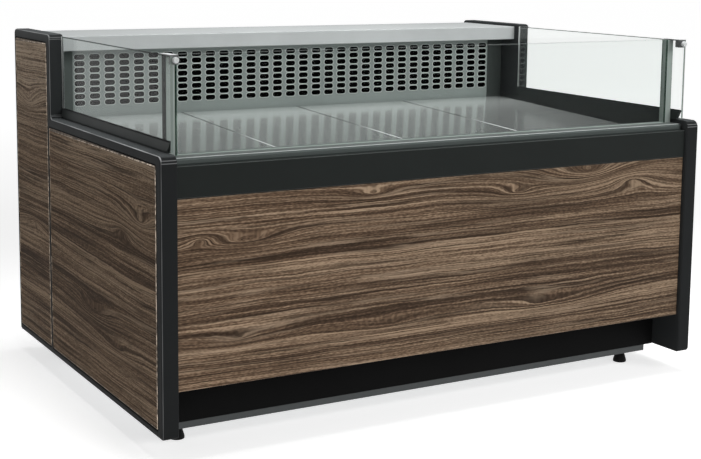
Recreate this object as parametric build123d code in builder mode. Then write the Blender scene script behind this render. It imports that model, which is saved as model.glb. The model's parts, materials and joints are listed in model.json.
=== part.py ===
from build123d import *
import os
from math import cos, floor, radians, sin

# A low self-service refrigerated display case: a glazed chilled well between two thick side panels,
# on a plinth that holds its own cooling unit. Millimetres, +Z up, the front towards -Y.
# The origin is on the floor, under the middle of the case.

# Overall case
inner_width = 1500.0  # clear width between the side panels
side_thickness = 40.0
case_depth = 1090.0
floor_gap = 60.0  # underside of the side panels above the floor
shoulder_height = 650.0  # low front part of a side panel
column_rise = 225.0  # rear column above the shoulder
column_depth = 315.0

# Sheet metal and clearances
sheet = 2.0
panel_gap = 1.5  # open joint between neighbouring covers
seat_gap = 0.3  # slack where one piece rests against another
bore_clearance = 0.05  # radial, shaft in bore
key_clearance = 0.25  # around a key or a rocker in its window

# Side panels
shoulder_radius = 18.0
column_radius = 14.0
base_radius = 10.0
nook_radius = 10.0
outer_edge_radius = 5.0
inner_edge_radius = 3.0
rib_width = 25.0  # rib that carries the rear panels
rib_depth = 20.0

# Wood-laminate inserts in the side panels
insert_thickness = 8.0
insert_top_border = 21.0
insert_base_border = 14.0
insert_front_border = 26.0
insert_rear_border = 9.0
insert_bar = 5.0  # black bar between the two inserts
insert_tuck = 15.5  # how far the front insert reaches behind the column's front
insert_corner = 10.0
insert_gap = 3.5
insert_chamfer = 2.0

# Front: kick plate, decor panel, top rail, glazing profile
front_drop = 26.0  # top of the rail below the shoulder
kick_height = 106.5
kick_recess = 106.0
decor_thickness = 16.0
decor_setback = 11.0
decor_chamfer = 1.0
rail_height = 73.5
rail_depth = 38.0
rail_wall = 2.5
rail_setback = 9.0
rail_edge_radius = 3.0
lip_height = 18.0  # lips that hold the decor panel from behind
carrier_nose = 2.0  # the kick plate's flange stops this far behind the decor face
profile_height = 16.0
profile_setback = 23.0
profile_base = 4.0
profile_lip = 6.0
profile_groove = 2.5
profile_slope = 5.0

# Front glazing and side glass
pane_thickness = 5.0
pane_space = 14.0
pane_end_gap = 0.5
spacer_width = 19.0
glass_setback = 66.0
glass_rise = 218.0  # glass top above the shoulder
side_glass_thickness = 6.0
side_glass_setback = 26.0
side_glass_overlap = 1.0  # inner face of the glass inside the side panel's face
holder_height = 26.0
holder_wall = 3.5
holder_inner_wall = 1.5
holder_base = 3.0
holder_taper = 2.5
holder_undercut = 2.2  # shadow groove along the foot of the bar
holder_undercut_height = 4.5
holder_setback = 29.0
holder_rake = 16.0

# Glass clamps and their knobs
clamp_thickness = 2.5
clamp_width = 20.0
clamp_block_depth = 19.0
clamp_block_height = 19.0
knob_radius = 6.8
knob_depth = 10.0
knob_edge = 1.2
knob_stem_radius = 3.0
knob_stem_length = 14.0
knob_drop = 9.0  # knob centre below the glass top
knob_inset = 6.0  # knob centre inside the side panel's face

# Well: tank, liners, deck, air outlet, shelf
plenum_height = 146.0  # tank floor below the front edge of the deck
floor_foam = 50.0
rear_foam = 60.0
duct_depth = 73.0  # from the air outlet panel to the rear wall
liner_thickness = 2.0
outlet_setback = 92.0  # air outlet panel behind the column's front
outlet_sheet = 1.5
outlet_slot_length = 30.6
outlet_slot_width = 14.6
outlet_pitch_x = 43.4
outlet_pitch_z = 18.2
outlet_margin_x = 55.0
outlet_margin_z = 20.0
outlet_slot_shift = 8.5  # middle of the slots above the middle of the open field
shelf_overhang = 66.0
shelf_height = 40.0
shelf_drop = 8.0  # shelf top below the column top
shelf_wall = 2.0
shelf_edge_radius = 2.0
deck_drop = 11.0  # rear edge of the deck below the shoulder
deck_tilt = 2.45  # degrees, falling to the front
deck_rear_gap = 4.0
tray_count = 4
tray_sheet = 1.5
tray_end_flange = 20.0
tray_side_flange = 12.0
tray_gap = 1.5
tray_bend = 1.2
support_depth = 20.0
support_height = 25.0
grille_length = 66.0
grille_slot_length = 40.0
grille_slot_width = 8.0
grille_pitch = 54.0
grille_row_pitch = 24.0
grille_rows = 2
grille_margin = 30.0

# Cold side: fan plate, fans, evaporator
fan_plate_setback = 119.0  # behind the front wall of the well
fan_plate_headroom = 17.0  # below the edges of the trays
fan_offset = 300.0
fan_hole_margin = 8.0
fan_tip_gap = 2.0
fan_hub_radius = 22.0
fan_depth = 24.0
fan_blades = 5
fan_chord = 30.0
fan_blade_thickness = 2.0
fan_pitch = 32.0
fan_shaft_radius = 4.0
fan_motor_radius = 19.0
fan_motor_length = 30.0
fan_motor_gap = 3.0
fan_strut_width = 14.0
fan_strut_depth = 6.0
fan_strut_overhang = 10.0
evaporator_side_gap = 170.0
evaporator_front_gap = 220.0
evaporator_rear_gap = 225.0
evaporator_headroom = 30.0
fin_thickness = 1.5
evaporator_fin_pitch = 40.0
evaporator_tube_radius = 7.0
evaporator_tube_pitch = 56.0
coil_end_plate = 3.0
drain_radius = 14.0
drain_wall = 6.0
drain_length = 40.0

# Base: beams, pan, levelling feet
beam_drop = 17.0  # beam below the side panels' undersides
beam_height = 40.0
beam_depth = 87.0
beam_wall = 3.0
beam_end_gap = 29.0
rear_beam_inset = 71.0
foot_side_inset = 64.0
foot_inset = 60.0
foot_pad_radius = 18.5
foot_pad_height = 6.0
foot_neck_radius = 13.0
foot_cone_height = 18.0
foot_hex_radius = 10.0
foot_hex_height = 7.0
foot_stem_radius = 6.0
foot_engagement = 27.0
foot_boss_radius = 12.0
foot_edge_radius = 1.5

# Rear: upper panel, vent panel, screws
rear_recess = 14.0
rear_ground_gap = 10.0
vent_slot_length = 70.0
vent_slot_width = 8.0
vent_pitch_x = 88.0
vent_pitch_z = 22.0
vent_margin = 70.0
screw_head_radius = 4.5
screw_head_height = 3.0
screw_radius = 2.4
screw_length = 15.0
screw_inset = 45.0
screw_hole_clearance = 0.3

# Condensing unit
condenser_offset = 200.0
condenser_width = 360.0
condenser_headroom = 85.0  # below the tank
condenser_depth = 60.0
condenser_rear_gap = 20.0
condenser_fin_pitch = 15.0
condenser_tube_radius = 5.0
condenser_tube_pitch = 60.0
shroud_depth = 40.0
shroud_hole_margin = 17.0
condenser_tip_gap = 3.0
condenser_hub_radius = 38.0
condenser_fan_depth = 26.0
condenser_blades = 5
condenser_chord = 56.0
condenser_blade_thickness = 2.5
condenser_pitch = 28.0
condenser_shaft_radius = 5.0
condenser_motor_radius = 42.0
condenser_motor_length = 66.0
condenser_motor_gap = 6.0
motor_bracket_width = 60.0
motor_bracket_thickness = 4.0
motor_foot_depth = 80.0
compressor_offset = 330.0
compressor_radius = 98.0
compressor_height = 200.0
compressor_dome = 40.0
compressor_plate = 4.0
compressor_plate_width = 230.0
compressor_plate_depth = 190.0
compressor_grommet_radius = 16.0
compressor_grommet_height = 20.0
compressor_grommet_inset = 22.0
terminal_box_width = 70.0
terminal_box_depth = 35.0
terminal_box_height = 80.0
port_offset = 45.0
suction_radius = 8.0
liquid_radius = 5.0
pipe_bend = 22.0
pipe_hole_clearance = 6.0
pipe_drop = 40.0  # pipe runs below the tank
pipe_margin = 35.0  # pipes inside the side panels, above the pan, below the coils' tops
riser_gap = 95.0  # liquid riser ahead of the tank's rear wall

# Controller, mains inlet and switch in the vent panel
controls_inset = 160.0
controller_drop = 60.0
bezel_width = 78.0
bezel_height = 36.0
bezel_thickness = 5.0
bezel_radius = 4.0
controller_body_width = 70.0
controller_body_height = 28.0
controller_body_depth = 58.0
display_width = 32.0
display_height = 18.0
display_recess = 1.0
display_shift = 16.0
key_names = ("set", "down", "up")
key_width = 8.0
key_height = 12.0
key_depth = 4.0
key_proud = 1.0
key_pitch = 11.0
key_shift = 18.0
key_travel_room = 1.0
inlet_rise = 130.0
inlet_width = 50.0
inlet_height = 62.0
inlet_thickness = 4.0
inlet_radius = 5.0
inlet_body_width = 30.0
inlet_body_height = 52.0
inlet_body_depth = 34.0
socket_width = 24.0
socket_height = 17.0
socket_depth = 16.0
socket_shift = 14.0
socket_pin_radius = 2.0
socket_pin_pitch = 7.0
socket_pin_length = 13.0
rocker_width = 22.0
rocker_height = 15.0
rocker_depth = 8.0
rocker_shift = 13.0
rocker_tilt = 8.0  # degrees, to either side
rocker_sink = 1.0  # pivot behind the inlet's face

# Places worked out from the sizes above
half_inner = inner_width / 2
half_width = half_inner + side_thickness
front_y = -case_depth / 2
rear_y = case_depth / 2
base_z = floor_gap
shoulder_z = base_z + shoulder_height
column_z = shoulder_z + column_rise
column_y = rear_y - column_depth
cover_half = half_inner - panel_gap
rear_face_y = rear_y - rear_recess

rail_top_z = shoulder_z - front_drop
rail_z = rail_top_z - rail_height
rail_front_y = front_y + rail_setback
rail_back_y = rail_front_y + rail_depth
decor_front_y = front_y + decor_setback
decor_back_y = decor_front_y + decor_thickness
decor_z = base_z + kick_height
decor_top_z = rail_z - panel_gap
lip_y = decor_back_y + seat_gap
kick_face_y = front_y + kick_recess
kick_back_y = kick_face_y + sheet

profile_front_y = front_y + profile_setback
profile_top_z = rail_top_z + profile_height
glass_z = rail_top_z + profile_base
glass_top_z = shoulder_z + glass_rise
glass_front_y = front_y + glass_setback
glass_back_y = glass_front_y + 2 * pane_thickness + pane_space
well_front_y = glass_back_y + profile_lip
side_glass_x = half_inner - side_glass_overlap
side_glass_front_y = front_y + side_glass_setback
holder_inner_x = side_glass_x - seat_gap - holder_inner_wall
holder_outer_x = side_glass_x + side_glass_thickness + seat_gap + holder_wall
holder_front_y = front_y + holder_setback
pane_half = holder_inner_x - pane_end_gap

beam_z = base_z - beam_drop
pan_z = beam_z + beam_height
pan_top_z = pan_z + sheet
foot_x = half_inner - foot_side_inset
rear_beam_back_y = rear_face_y - rear_beam_inset
beam_half = half_inner - beam_end_gap

liner_x = half_inner - liner_thickness
outlet_y = column_y + outlet_setback
rear_wall_y = outlet_y + outlet_sheet + duct_depth
shelf_top_z = column_z - shelf_drop
shelf_z = shelf_top_z - shelf_height
shelf_front_y = outlet_y - shelf_overhang

deck_rear_y = outlet_y - deck_rear_gap
deck_rear_z = shoulder_z - deck_drop
deck_rise = sin(radians(deck_tilt))
deck_run = cos(radians(deck_tilt))
deck_plane = Plane(
    origin=(0, deck_rear_y, deck_rear_z),
    x_dir=(1, 0, 0),
    z_dir=(0, -deck_rise, deck_run),
)
deck_half = holder_inner_x - panel_gap
deck_length = (deck_rear_y - well_front_y) / deck_run
tray_width = (2 * deck_half - (tray_count - 1) * tray_gap) / tray_count
tray_length = deck_length - tray_gap - grille_length - panel_gap
grille_start = tray_length + tray_gap

sides = {"left": -1, "right": 1}
standing = (Align.CENTER, Align.CENTER, Align.MIN)
hanging = (Align.CENTER, Align.CENTER, Align.MAX)
along_y = (90, 0, 0)  # turns an upright cylinder so that its top faces the front
os.makedirs("parts", exist_ok=True)


def save(piece, name):
    """Labels a finished piece and writes it under that name."""
    piece.label = name
    export_step(piece, f"parts/{name}.step")


def copies_along(room, size, pitch):
    """How many copies of a size fit into a room at a pitch."""
    return floor((room - size) / pitch) + 1


def deck_height(y):
    """Top of the deck at a distance from the middle of the case."""
    return deck_rear_z - (deck_rear_y - y) * deck_rise / deck_run


floor_top_z = deck_height(well_front_y) - plenum_height
tank_z = floor_top_z - floor_foam
pipe_run_z = tank_z - pipe_drop

# Side panels: an L-shaped plate with softened edges, two pockets for the inserts, and a rib behind
front_insert_y = (front_y + insert_front_border, column_y + insert_tuck)
rear_insert_y = (column_y + insert_tuck + insert_bar, rear_y - insert_rear_border)
insert_z = base_z + insert_base_border
inserts = {
    "front_insert": (front_insert_y, (insert_z, shoulder_z - insert_top_border)),
    "rear_insert": (rear_insert_y, (insert_z, column_z - insert_top_border)),
}
vent_z = base_z + rear_ground_gap
vent_top_z = tank_z
upper_z = tank_z + panel_gap
rear_panels = {"rear_vent_panel": (vent_z, vent_top_z), "rear_upper_panel": (upper_z, shelf_top_z)}
screw_x = half_inner - rib_width / 2
screw_rows = {
    "rear_vent_panel": (vent_z + screw_inset, (vent_z + vent_top_z) / 2, vent_top_z - screw_inset),
    "rear_upper_panel": (upper_z + screw_inset, (upper_z + shelf_z) / 2, shelf_z - screw_inset),
}
all_screw_rows = [z for rows in screw_rows.values() for z in rows]

for side, sign in sides.items():
    with BuildPart() as side_panel:
        with BuildSketch(Plane.YZ.offset(sign * half_inner)):
            with BuildLine():
                FilletPolyline(
                    (front_y, base_z),
                    (rear_y, base_z),
                    (rear_y, column_z),
                    (column_y, column_z),
                    (column_y, shoulder_z),
                    (front_y, shoulder_z),
                    radius=(
                        base_radius,
                        base_radius,
                        column_radius,
                        column_radius,
                        nook_radius,
                        shoulder_radius,
                    ),
                    close=True,
                )
            make_face()
        extrude(amount=sign * side_thickness)
        flat_faces = side_panel.faces().filter_by(Axis.X).sort_by(Axis.X)
        outer_face = flat_faces[::sign][-1]
        fillet(outer_face.edges(), outer_edge_radius)
        inner_face = side_panel.faces().filter_by(Axis.X).sort_by(Axis.X)[::sign][0]
        fillet(inner_face.edges(), inner_edge_radius)
        with BuildSketch(Plane.YZ.offset(sign * (half_width - insert_thickness))):
            for (y_low, y_high), (z_low, z_high) in inserts.values():
                with Locations(((y_low + y_high) / 2, (z_low + z_high) / 2)):
                    RectangleRounded(y_high - y_low, z_high - z_low, insert_corner)
        extrude(amount=sign * insert_thickness, mode=Mode.SUBTRACT)
        rib_middle_z = (pan_top_z + shelf_z) / 2
        with Locations((sign * screw_x, rear_face_y - rib_depth / 2, rib_middle_z)):
            Box(rib_width, rib_depth, shelf_z - pan_top_z)
        with Locations(*[(sign * screw_x, rear_face_y, z) for z in all_screw_rows]):
            Cylinder(
                screw_radius + screw_hole_clearance,
                2 * screw_length,
                rotation=along_y,
                mode=Mode.SUBTRACT,
            )
    save(side_panel.part, f"{side}_side_panel")

    for insert_name, ((y_low, y_high), (z_low, z_high)) in inserts.items():
        with BuildPart() as insert:
            with BuildSketch(Plane.YZ.offset(sign * (half_width - insert_thickness))):
                with Locations(((y_low + y_high) / 2, (z_low + z_high) / 2)):
                    RectangleRounded(
                        y_high - y_low - 2 * insert_gap,
                        z_high - z_low - 2 * insert_gap,
                        insert_corner - insert_gap,
                    )
            extrude(amount=sign * insert_thickness)
            outer_face = insert.faces().filter_by(Axis.X).sort_by(Axis.X)[::sign][-1]
            chamfer(outer_face.edges(), insert_chamfer)
        save(insert.part, f"{side}_{insert_name}")


# Front decor panel, carried by the kick plate's flange and held by two lips
with BuildPart() as decor_panel:
    with Locations((0, (decor_front_y + decor_back_y) / 2, (decor_z + decor_top_z) / 2)):
        Box(2 * cover_half, decor_thickness, decor_top_z - decor_z)
    decor_face = decor_panel.faces().sort_by(Axis.Y)[0]
    chamfer(decor_face.edges(), decor_chamfer)
save(decor_panel.part, "front_decor_panel")

# Kick plate: an upright sheet, a flange forward under the decor panel, a lip behind that panel
with BuildPart() as kick_plate:
    with BuildSketch(Plane.YZ):
        with BuildLine():
            Polyline(
                (kick_back_y, base_z),
                (kick_face_y, base_z),
                (kick_face_y, decor_z - sheet),
                (decor_front_y + carrier_nose, decor_z - sheet),
                (decor_front_y + carrier_nose, decor_z),
                (lip_y, decor_z),
                (lip_y, decor_z + lip_height),
                (lip_y + sheet, decor_z + lip_height),
                (lip_y + sheet, decor_z),
                (kick_back_y, decor_z),
                close=True,
            )
        make_face()
    extrude(amount=cover_half, both=True)
save(kick_plate.part, "kick_plate")

# Top rail: a hollow section with a lip down behind the decor panel
with BuildPart() as top_rail:
    with BuildSketch(Plane.YZ):
        with Locations(((rail_front_y + rail_back_y) / 2, (rail_z + rail_top_z) / 2)):
            Rectangle(rail_depth, rail_height)
            Rectangle(rail_depth - 2 * rail_wall, rail_height - 2 * rail_wall, mode=Mode.SUBTRACT)
        with Locations((lip_y + sheet / 2, rail_z + (rail_wall - lip_height) / 2)):
            Rectangle(sheet, lip_height + rail_wall)
    extrude(amount=cover_half, both=True)
    rail_front_edges = top_rail.edges().filter_by(Axis.X).group_by(Axis.Y)[0]
    fillet(rail_front_edges, rail_edge_radius)
save(top_rail.part, "front_top_rail")

# Glazing profile: a stepped front, a flat ledge and the channel that the front glazing stands in
with BuildPart() as glazing_profile:
    with BuildSketch(Plane.YZ):
        with BuildLine():
            Polyline(
                (profile_front_y + profile_groove, rail_top_z),
                (profile_front_y + profile_groove, rail_top_z + profile_groove),
                (profile_front_y, rail_top_z + profile_groove),
                (profile_front_y, profile_top_z - profile_slope),
                (profile_front_y + profile_slope, profile_top_z),
                (glass_front_y - seat_gap, profile_top_z),
                (glass_front_y - seat_gap, glass_z),
                (glass_back_y + seat_gap, glass_z),
                (glass_back_y + seat_gap, profile_top_z),
                (well_front_y, profile_top_z),
                (well_front_y, rail_top_z),
                close=True,
            )
        make_face()
    extrude(amount=cover_half, both=True)
save(glazing_profile.part, "front_glass_profile")

# Front glazing: two panes between two end bars, with a spacer strip between the panes at their foot
pane_height = glass_top_z - glass_z
pane_middle_z = (glass_z + glass_top_z) / 2
clear_half = pane_half - spacer_width
glazing_middle_y = (glass_front_y + glass_back_y) / 2
with BuildPart() as front_glass:
    for pane_y in (glass_front_y, glass_back_y - pane_thickness):
        with Locations((0, pane_y + pane_thickness / 2, pane_middle_z)):
            Box(2 * clear_half, pane_thickness, pane_height)
save(front_glass.part, "front_glass")

with BuildPart() as spacer:
    bar_x = pane_half - spacer_width / 2
    with Locations(*[(sign * bar_x, glazing_middle_y, pane_middle_z) for sign in sides.values()]):
        Box(spacer_width, glass_back_y - glass_front_y, pane_height)
    with Locations((0, glazing_middle_y, (glass_z + profile_top_z) / 2)):
        Box(2 * clear_half, pane_space, profile_top_z - glass_z)
save(spacer.part, "front_glass_spacer")

# Side glass in its holder bar on the shoulder, with the clamp and the knob at its front top corner
side_glass_z = shoulder_z + holder_base
holder_top_z = shoulder_z + holder_height
groove_top_z = shoulder_z + holder_undercut_height
holder_rear_y = column_y - seat_gap
nook_top_z = shoulder_z + nook_radius
slot_inner_x = side_glass_x - seat_gap
slot_outer_x = side_glass_x + side_glass_thickness + seat_gap
knob_x = half_inner - knob_inset
knob_z = glass_top_z - knob_drop
knob_back_y = side_glass_front_y - seat_gap
clamp_outer_x = side_glass_x + side_glass_thickness
clamp_inner_x = clamp_outer_x - clamp_width
clamp_length = glass_back_y - side_glass_front_y
clamp_block_width = slot_inner_x - clamp_inner_x

for side, sign in sides.items():
    with BuildPart() as side_glass:
        with BuildSketch(Plane.YZ.offset(sign * side_glass_x)):
            with BuildLine():
                Polyline(
                    (side_glass_front_y, side_glass_z),
                    (side_glass_front_y, glass_top_z),
                    (holder_rear_y, glass_top_z),
                    (holder_rear_y, nook_top_z),
                    (holder_rear_y - nook_radius + holder_base, side_glass_z),
                    close=True,
                )
            make_face()
        extrude(amount=sign * side_glass_thickness)
    save(side_glass.part, f"{side}_side_glass")

    with BuildPart() as glass_holder:
        with BuildSketch(Plane.XZ):
            with BuildLine():
                Polyline(
                    (sign * holder_inner_x, shoulder_z),
                    (sign * (holder_outer_x - holder_undercut), shoulder_z),
                    (sign * (holder_outer_x - holder_undercut), groove_top_z),
                    (sign * holder_outer_x, groove_top_z),
                    (sign * (holder_outer_x - holder_taper), holder_top_z),
                    (sign * slot_outer_x, holder_top_z),
                    (sign * slot_outer_x, side_glass_z),
                    (sign * slot_inner_x, side_glass_z),
                    (sign * slot_inner_x, holder_top_z),
                    (sign * holder_inner_x, holder_top_z),
                    close=True,
                )
            make_face()
        extrude(amount=case_depth, both=True)
        with BuildSketch(Plane.YZ):
            with BuildLine():
                Polyline(
                    (holder_front_y, holder_top_z),
                    (holder_rear_y, holder_top_z),
                    (holder_rear_y, nook_top_z),
                    (holder_rear_y - nook_radius, shoulder_z),
                    (holder_front_y + holder_rake, shoulder_z),
                    close=True,
                )
            make_face()
        extrude(amount=half_width, both=True, mode=Mode.INTERSECT)
    save(glass_holder.part, f"{side}_glass_holder")

    with BuildPart() as glass_clamp:
        with Locations(
            (
                sign * (clamp_outer_x - clamp_width / 2),
                side_glass_front_y + clamp_length / 2,
                glass_top_z + clamp_thickness / 2,
            )
        ):
            Box(clamp_width, clamp_length, clamp_thickness)
        with Locations(
            (
                sign * (clamp_inner_x + clamp_block_width / 2),
                side_glass_front_y + clamp_block_depth / 2,
                glass_top_z - clamp_block_height / 2,
            )
        ):
            Box(clamp_block_width, clamp_block_depth, clamp_block_height)
        with Locations((sign * knob_x, side_glass_front_y, knob_z)):
            Cylinder(
                knob_stem_radius + bore_clearance,
                2 * clamp_block_depth,
                rotation=along_y,
                mode=Mode.SUBTRACT,
            )
    save(glass_clamp.part, f"{side}_glass_clamp")

    with BuildPart(
        Plane(origin=(sign * knob_x, knob_back_y, knob_z), x_dir=(1, 0, 0), z_dir=(0, -1, 0))
    ) as clamp_knob:
        Cylinder(knob_radius, knob_depth, align=standing)
        rims = clamp_knob.edges().filter_by(GeomType.CIRCLE)
        fillet(rims, knob_edge)
        Cylinder(knob_stem_radius, knob_stem_length, align=hanging)
    save(clamp_knob.part, f"{side}_clamp_knob")


# Insulated tank: floor with its drain spigot and pipe holes, front wall, rear wall, thin black liners
evaporator_front_y = well_front_y + evaporator_front_gap
evaporator_rear_y = rear_wall_y - evaporator_rear_gap
evaporator_top_z = deck_height(evaporator_front_y) - tray_side_flange - evaporator_headroom
evaporator_height = evaporator_top_z - floor_top_z
evaporator_z = floor_top_z + evaporator_height / 2
pipe_radius = {"suction": suction_radius, "liquid": liquid_radius, "discharge": liquid_radius}
pipe_x = {"suction": half_inner - 2 * pipe_margin, "liquid": half_inner - pipe_margin}
liquid_riser_y = rear_wall_y - riser_gap
compressor_y = liquid_riser_y - 2 * pipe_margin
pipe_y = {"suction": compressor_y, "liquid": liquid_riser_y}
tank_length = rear_wall_y - well_front_y
tank_middle_y = (well_front_y + rear_wall_y) / 2
drain_x = -(half_inner - pipe_margin - drain_radius - drain_wall)
drain_y = well_front_y + pipe_margin + drain_radius + drain_wall

with BuildPart() as tank_floor:
    with Locations((0, tank_middle_y, tank_z + floor_foam / 2)):
        Box(inner_width, tank_length, floor_foam)
    with Locations((drain_x, drain_y, tank_z)):
        Cylinder(
            drain_radius + drain_wall,
            drain_length,
            align=hanging,
        )
        Cylinder(drain_radius, 2 * (drain_length + floor_foam), mode=Mode.SUBTRACT)
    for line_name, line_x in pipe_x.items():
        with Locations((line_x, pipe_y[line_name], tank_z)):
            Cylinder(
                pipe_radius[line_name] + pipe_hole_clearance,
                2 * floor_foam,
                mode=Mode.SUBTRACT,
            )
save(tank_floor.part, "tank_floor")

with BuildPart() as tank_front_wall:
    with Locations((0, (rail_back_y + well_front_y) / 2, (tank_z + rail_top_z) / 2)):
        Box(inner_width, well_front_y - rail_back_y, rail_top_z - tank_z)
save(tank_front_wall.part, "tank_front_wall")

with BuildPart() as tank_rear_wall:
    with Locations((0, rear_wall_y + rear_foam / 2, (tank_z + shelf_z) / 2)):
        Box(inner_width, rear_foam, shelf_z - tank_z)
save(tank_rear_wall.part, "tank_rear_wall")

for side, sign in sides.items():
    with BuildPart() as liner:
        with Locations(
            (sign * (liner_x + liner_thickness / 2), tank_middle_y, (floor_top_z + shoulder_z) / 2)
        ):
            Box(liner_thickness, tank_length, shoulder_z - floor_top_z)
    save(liner.part, f"{side}_liner")


# Air outlet panel: a flat sheet with rows of oblong slots
outlet_half = liner_x - seat_gap
outlet_z = deck_rear_z - tray_end_flange
outlet_height = shelf_z - outlet_z
outlet_columns = copies_along(
    2 * (outlet_half - outlet_margin_x), outlet_slot_length, outlet_pitch_x
)
outlet_rows = copies_along(
    shelf_z - deck_rear_z - 2 * outlet_margin_z, outlet_slot_width, outlet_pitch_z
)
with BuildPart() as outlet_panel:
    with BuildSketch(Plane.XZ.offset(-outlet_y)):
        with Locations((0, outlet_z + outlet_height / 2)):
            Rectangle(2 * outlet_half, outlet_height)
        with Locations((0, (shelf_z + deck_rear_z) / 2 + outlet_slot_shift)):
            with GridLocations(outlet_pitch_x, outlet_pitch_z, outlet_columns, outlet_rows):
                SlotOverall(outlet_slot_length, outlet_slot_width, mode=Mode.SUBTRACT)
    extrude(amount=-outlet_sheet)
save(outlet_panel.part, "air_outlet_panel")

# Rear top shelf: a hollow folded section that closes the air duct and overhangs the outlet panel
shelf_depth = rear_face_y - shelf_front_y
shelf_middle = ((shelf_front_y + rear_face_y) / 2, (shelf_z + shelf_top_z) / 2)
with BuildPart() as top_shelf:
    with BuildSketch(Plane.YZ):
        with Locations(shelf_middle):
            Rectangle(shelf_depth, shelf_height)
            Rectangle(
                shelf_depth - 2 * shelf_wall, shelf_height - 2 * shelf_wall, mode=Mode.SUBTRACT
            )
    extrude(amount=half_inner - seat_gap, both=True)
    shelf_front_edges = top_shelf.edges().filter_by(Axis.X).group_by(Axis.Y)[0]
    fillet(shelf_front_edges, shelf_edge_radius)
save(top_shelf.part, "rear_top_shelf")


# Deck: lift-out trays with folded edges, and the return-air grille in front of them
def folded_plate(width, length, middle, start):
    """A sheet on the deck plane with its four edges folded down."""
    with BuildPart(deck_plane) as plate:
        with Locations((middle, -start - length / 2, 0)):
            Box(width, length, tray_sheet, align=hanging)
        for edge in (-start - tray_sheet / 2, -start - length + tray_sheet / 2):
            with Locations((middle, edge, 0)):
                Box(width, tray_sheet, tray_end_flange, align=hanging)
        for edge in (middle - (width - tray_sheet) / 2, middle + (width - tray_sheet) / 2):
            with Locations((edge, -start - length / 2, 0)):
                Box(tray_sheet, length, tray_side_flange, align=hanging)
        top_face = plate.faces().filter_by(deck_plane).sort_by(Axis.Z)[-1]
        fillet(top_face.edges(), tray_bend)
    return plate.part


for number in range(tray_count):
    tray_middle = -deck_half + tray_width / 2 + number * (tray_width + tray_gap)
    save(folded_plate(tray_width, tray_length, tray_middle, 0), f"deck_tray_{number + 1}")

grille_columns = copies_along(2 * (deck_half - grille_margin), grille_slot_length, grille_pitch)
with BuildPart() as return_grille:
    add(folded_plate(2 * deck_half, grille_length, 0, grille_start))
    with BuildSketch(deck_plane):
        with Locations((0, -grille_start - grille_length / 2)):
            with GridLocations(grille_pitch, grille_row_pitch, grille_columns, grille_rows):
                SlotOverall(grille_slot_length, grille_slot_width)
    extrude(amount=-2 * tray_sheet, mode=Mode.SUBTRACT)
save(return_grille.part, "return_air_grille")

# Two rails between the liners: one under the trays' rear flanges, one under their front flanges
flange_drop = tray_end_flange * deck_run + seat_gap
rear_support = (outlet_y - support_depth / 2, deck_rear_z - flange_drop - tray_sheet * deck_rise)
front_support = (
    deck_rear_y - grille_start * deck_run + tray_end_flange * deck_rise,
    deck_rear_z - flange_drop - (grille_start + tray_sheet) * deck_rise,
)
with BuildPart() as deck_supports:
    for support_y, support_z in (rear_support, front_support):
        with Locations((0, support_y, support_z)):
            Box(2 * liner_x, support_depth, support_height, align=hanging)
save(deck_supports.part, "deck_supports")


# Fan plate on the tank floor with two axial fans, their motors on struts across the holes
def fan_wheel(centre, hub_radius, tip_radius, depth, blades, chord, thickness, pitch, shaft_radius):
    """An axial fan wheel with its axis along Y: pitched blades trimmed round, a bored hub."""
    with BuildPart(Plane(origin=centre, x_dir=(1, 0, 0), z_dir=(0, -1, 0))) as wheel:
        with PolarLocations((tip_radius + hub_radius / 2) / 2, blades):
            Box(tip_radius - hub_radius / 2, chord, thickness, rotation=(pitch, 0, 0))
        Cylinder(tip_radius, depth, mode=Mode.INTERSECT)
        Cylinder(hub_radius, depth)
        Cylinder(shaft_radius + bore_clearance, depth, mode=Mode.SUBTRACT)
    return wheel.part


fan_plate_y = well_front_y + fan_plate_setback
fan_plate_top_z = deck_height(fan_plate_y) - tray_side_flange - fan_plate_headroom
fan_plate_height = fan_plate_top_z - floor_top_z
fan_hole_radius = fan_plate_height / 2 - fan_hole_margin
fan_y = fan_plate_y + sheet / 2
fan_z = floor_top_z + fan_plate_height / 2
fan_centres = {"left": -fan_offset, "right": fan_offset}
with BuildPart() as fan_plate:
    with BuildSketch(Plane.XZ.offset(-fan_plate_y)):
        with Locations((0, fan_z)):
            Rectangle(2 * liner_x, fan_plate_height)
        with Locations(*[(fan_x, fan_z) for fan_x in fan_centres.values()]):
            Circle(fan_hole_radius, mode=Mode.SUBTRACT)
    extrude(amount=-sheet)
save(fan_plate.part, "fan_plate")

for side, fan_x in fan_centres.items():
    wheel = fan_wheel(
        (fan_x, fan_y, fan_z),
        fan_hub_radius,
        fan_hole_radius - fan_tip_gap,
        fan_depth,
        fan_blades,
        fan_chord,
        fan_blade_thickness,
        fan_pitch,
        fan_shaft_radius,
    )
    save(wheel, f"evaporator_fan_{side}")

fan_motor_y = fan_y - fan_depth / 2 - fan_motor_gap
fan_strut_reach = fan_hole_radius + fan_strut_overhang
with BuildPart() as fan_motors:
    for fan_x in fan_centres.values():
        with Locations((fan_x, fan_motor_y, fan_z)):
            Cylinder(fan_motor_radius, fan_motor_length, rotation=along_y, align=standing)
            Cylinder(fan_shaft_radius, fan_motor_gap + fan_depth, rotation=along_y, align=hanging)
        with Locations((fan_x, fan_motor_y - fan_strut_depth / 2, fan_z)):
            Box(2 * fan_strut_reach, fan_strut_depth, fan_strut_width)
        standoff_y = (fan_motor_y + fan_plate_y) / 2
        standoff_x = fan_strut_reach - fan_strut_overhang / 2
        with Locations((fan_x - standoff_x, standoff_y, fan_z), (fan_x + standoff_x, standoff_y, fan_z)):
            Box(fan_strut_overhang, fan_plate_y - fan_motor_y, fan_strut_width)
save(fan_motors.part, "evaporator_fan_motors")


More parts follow.
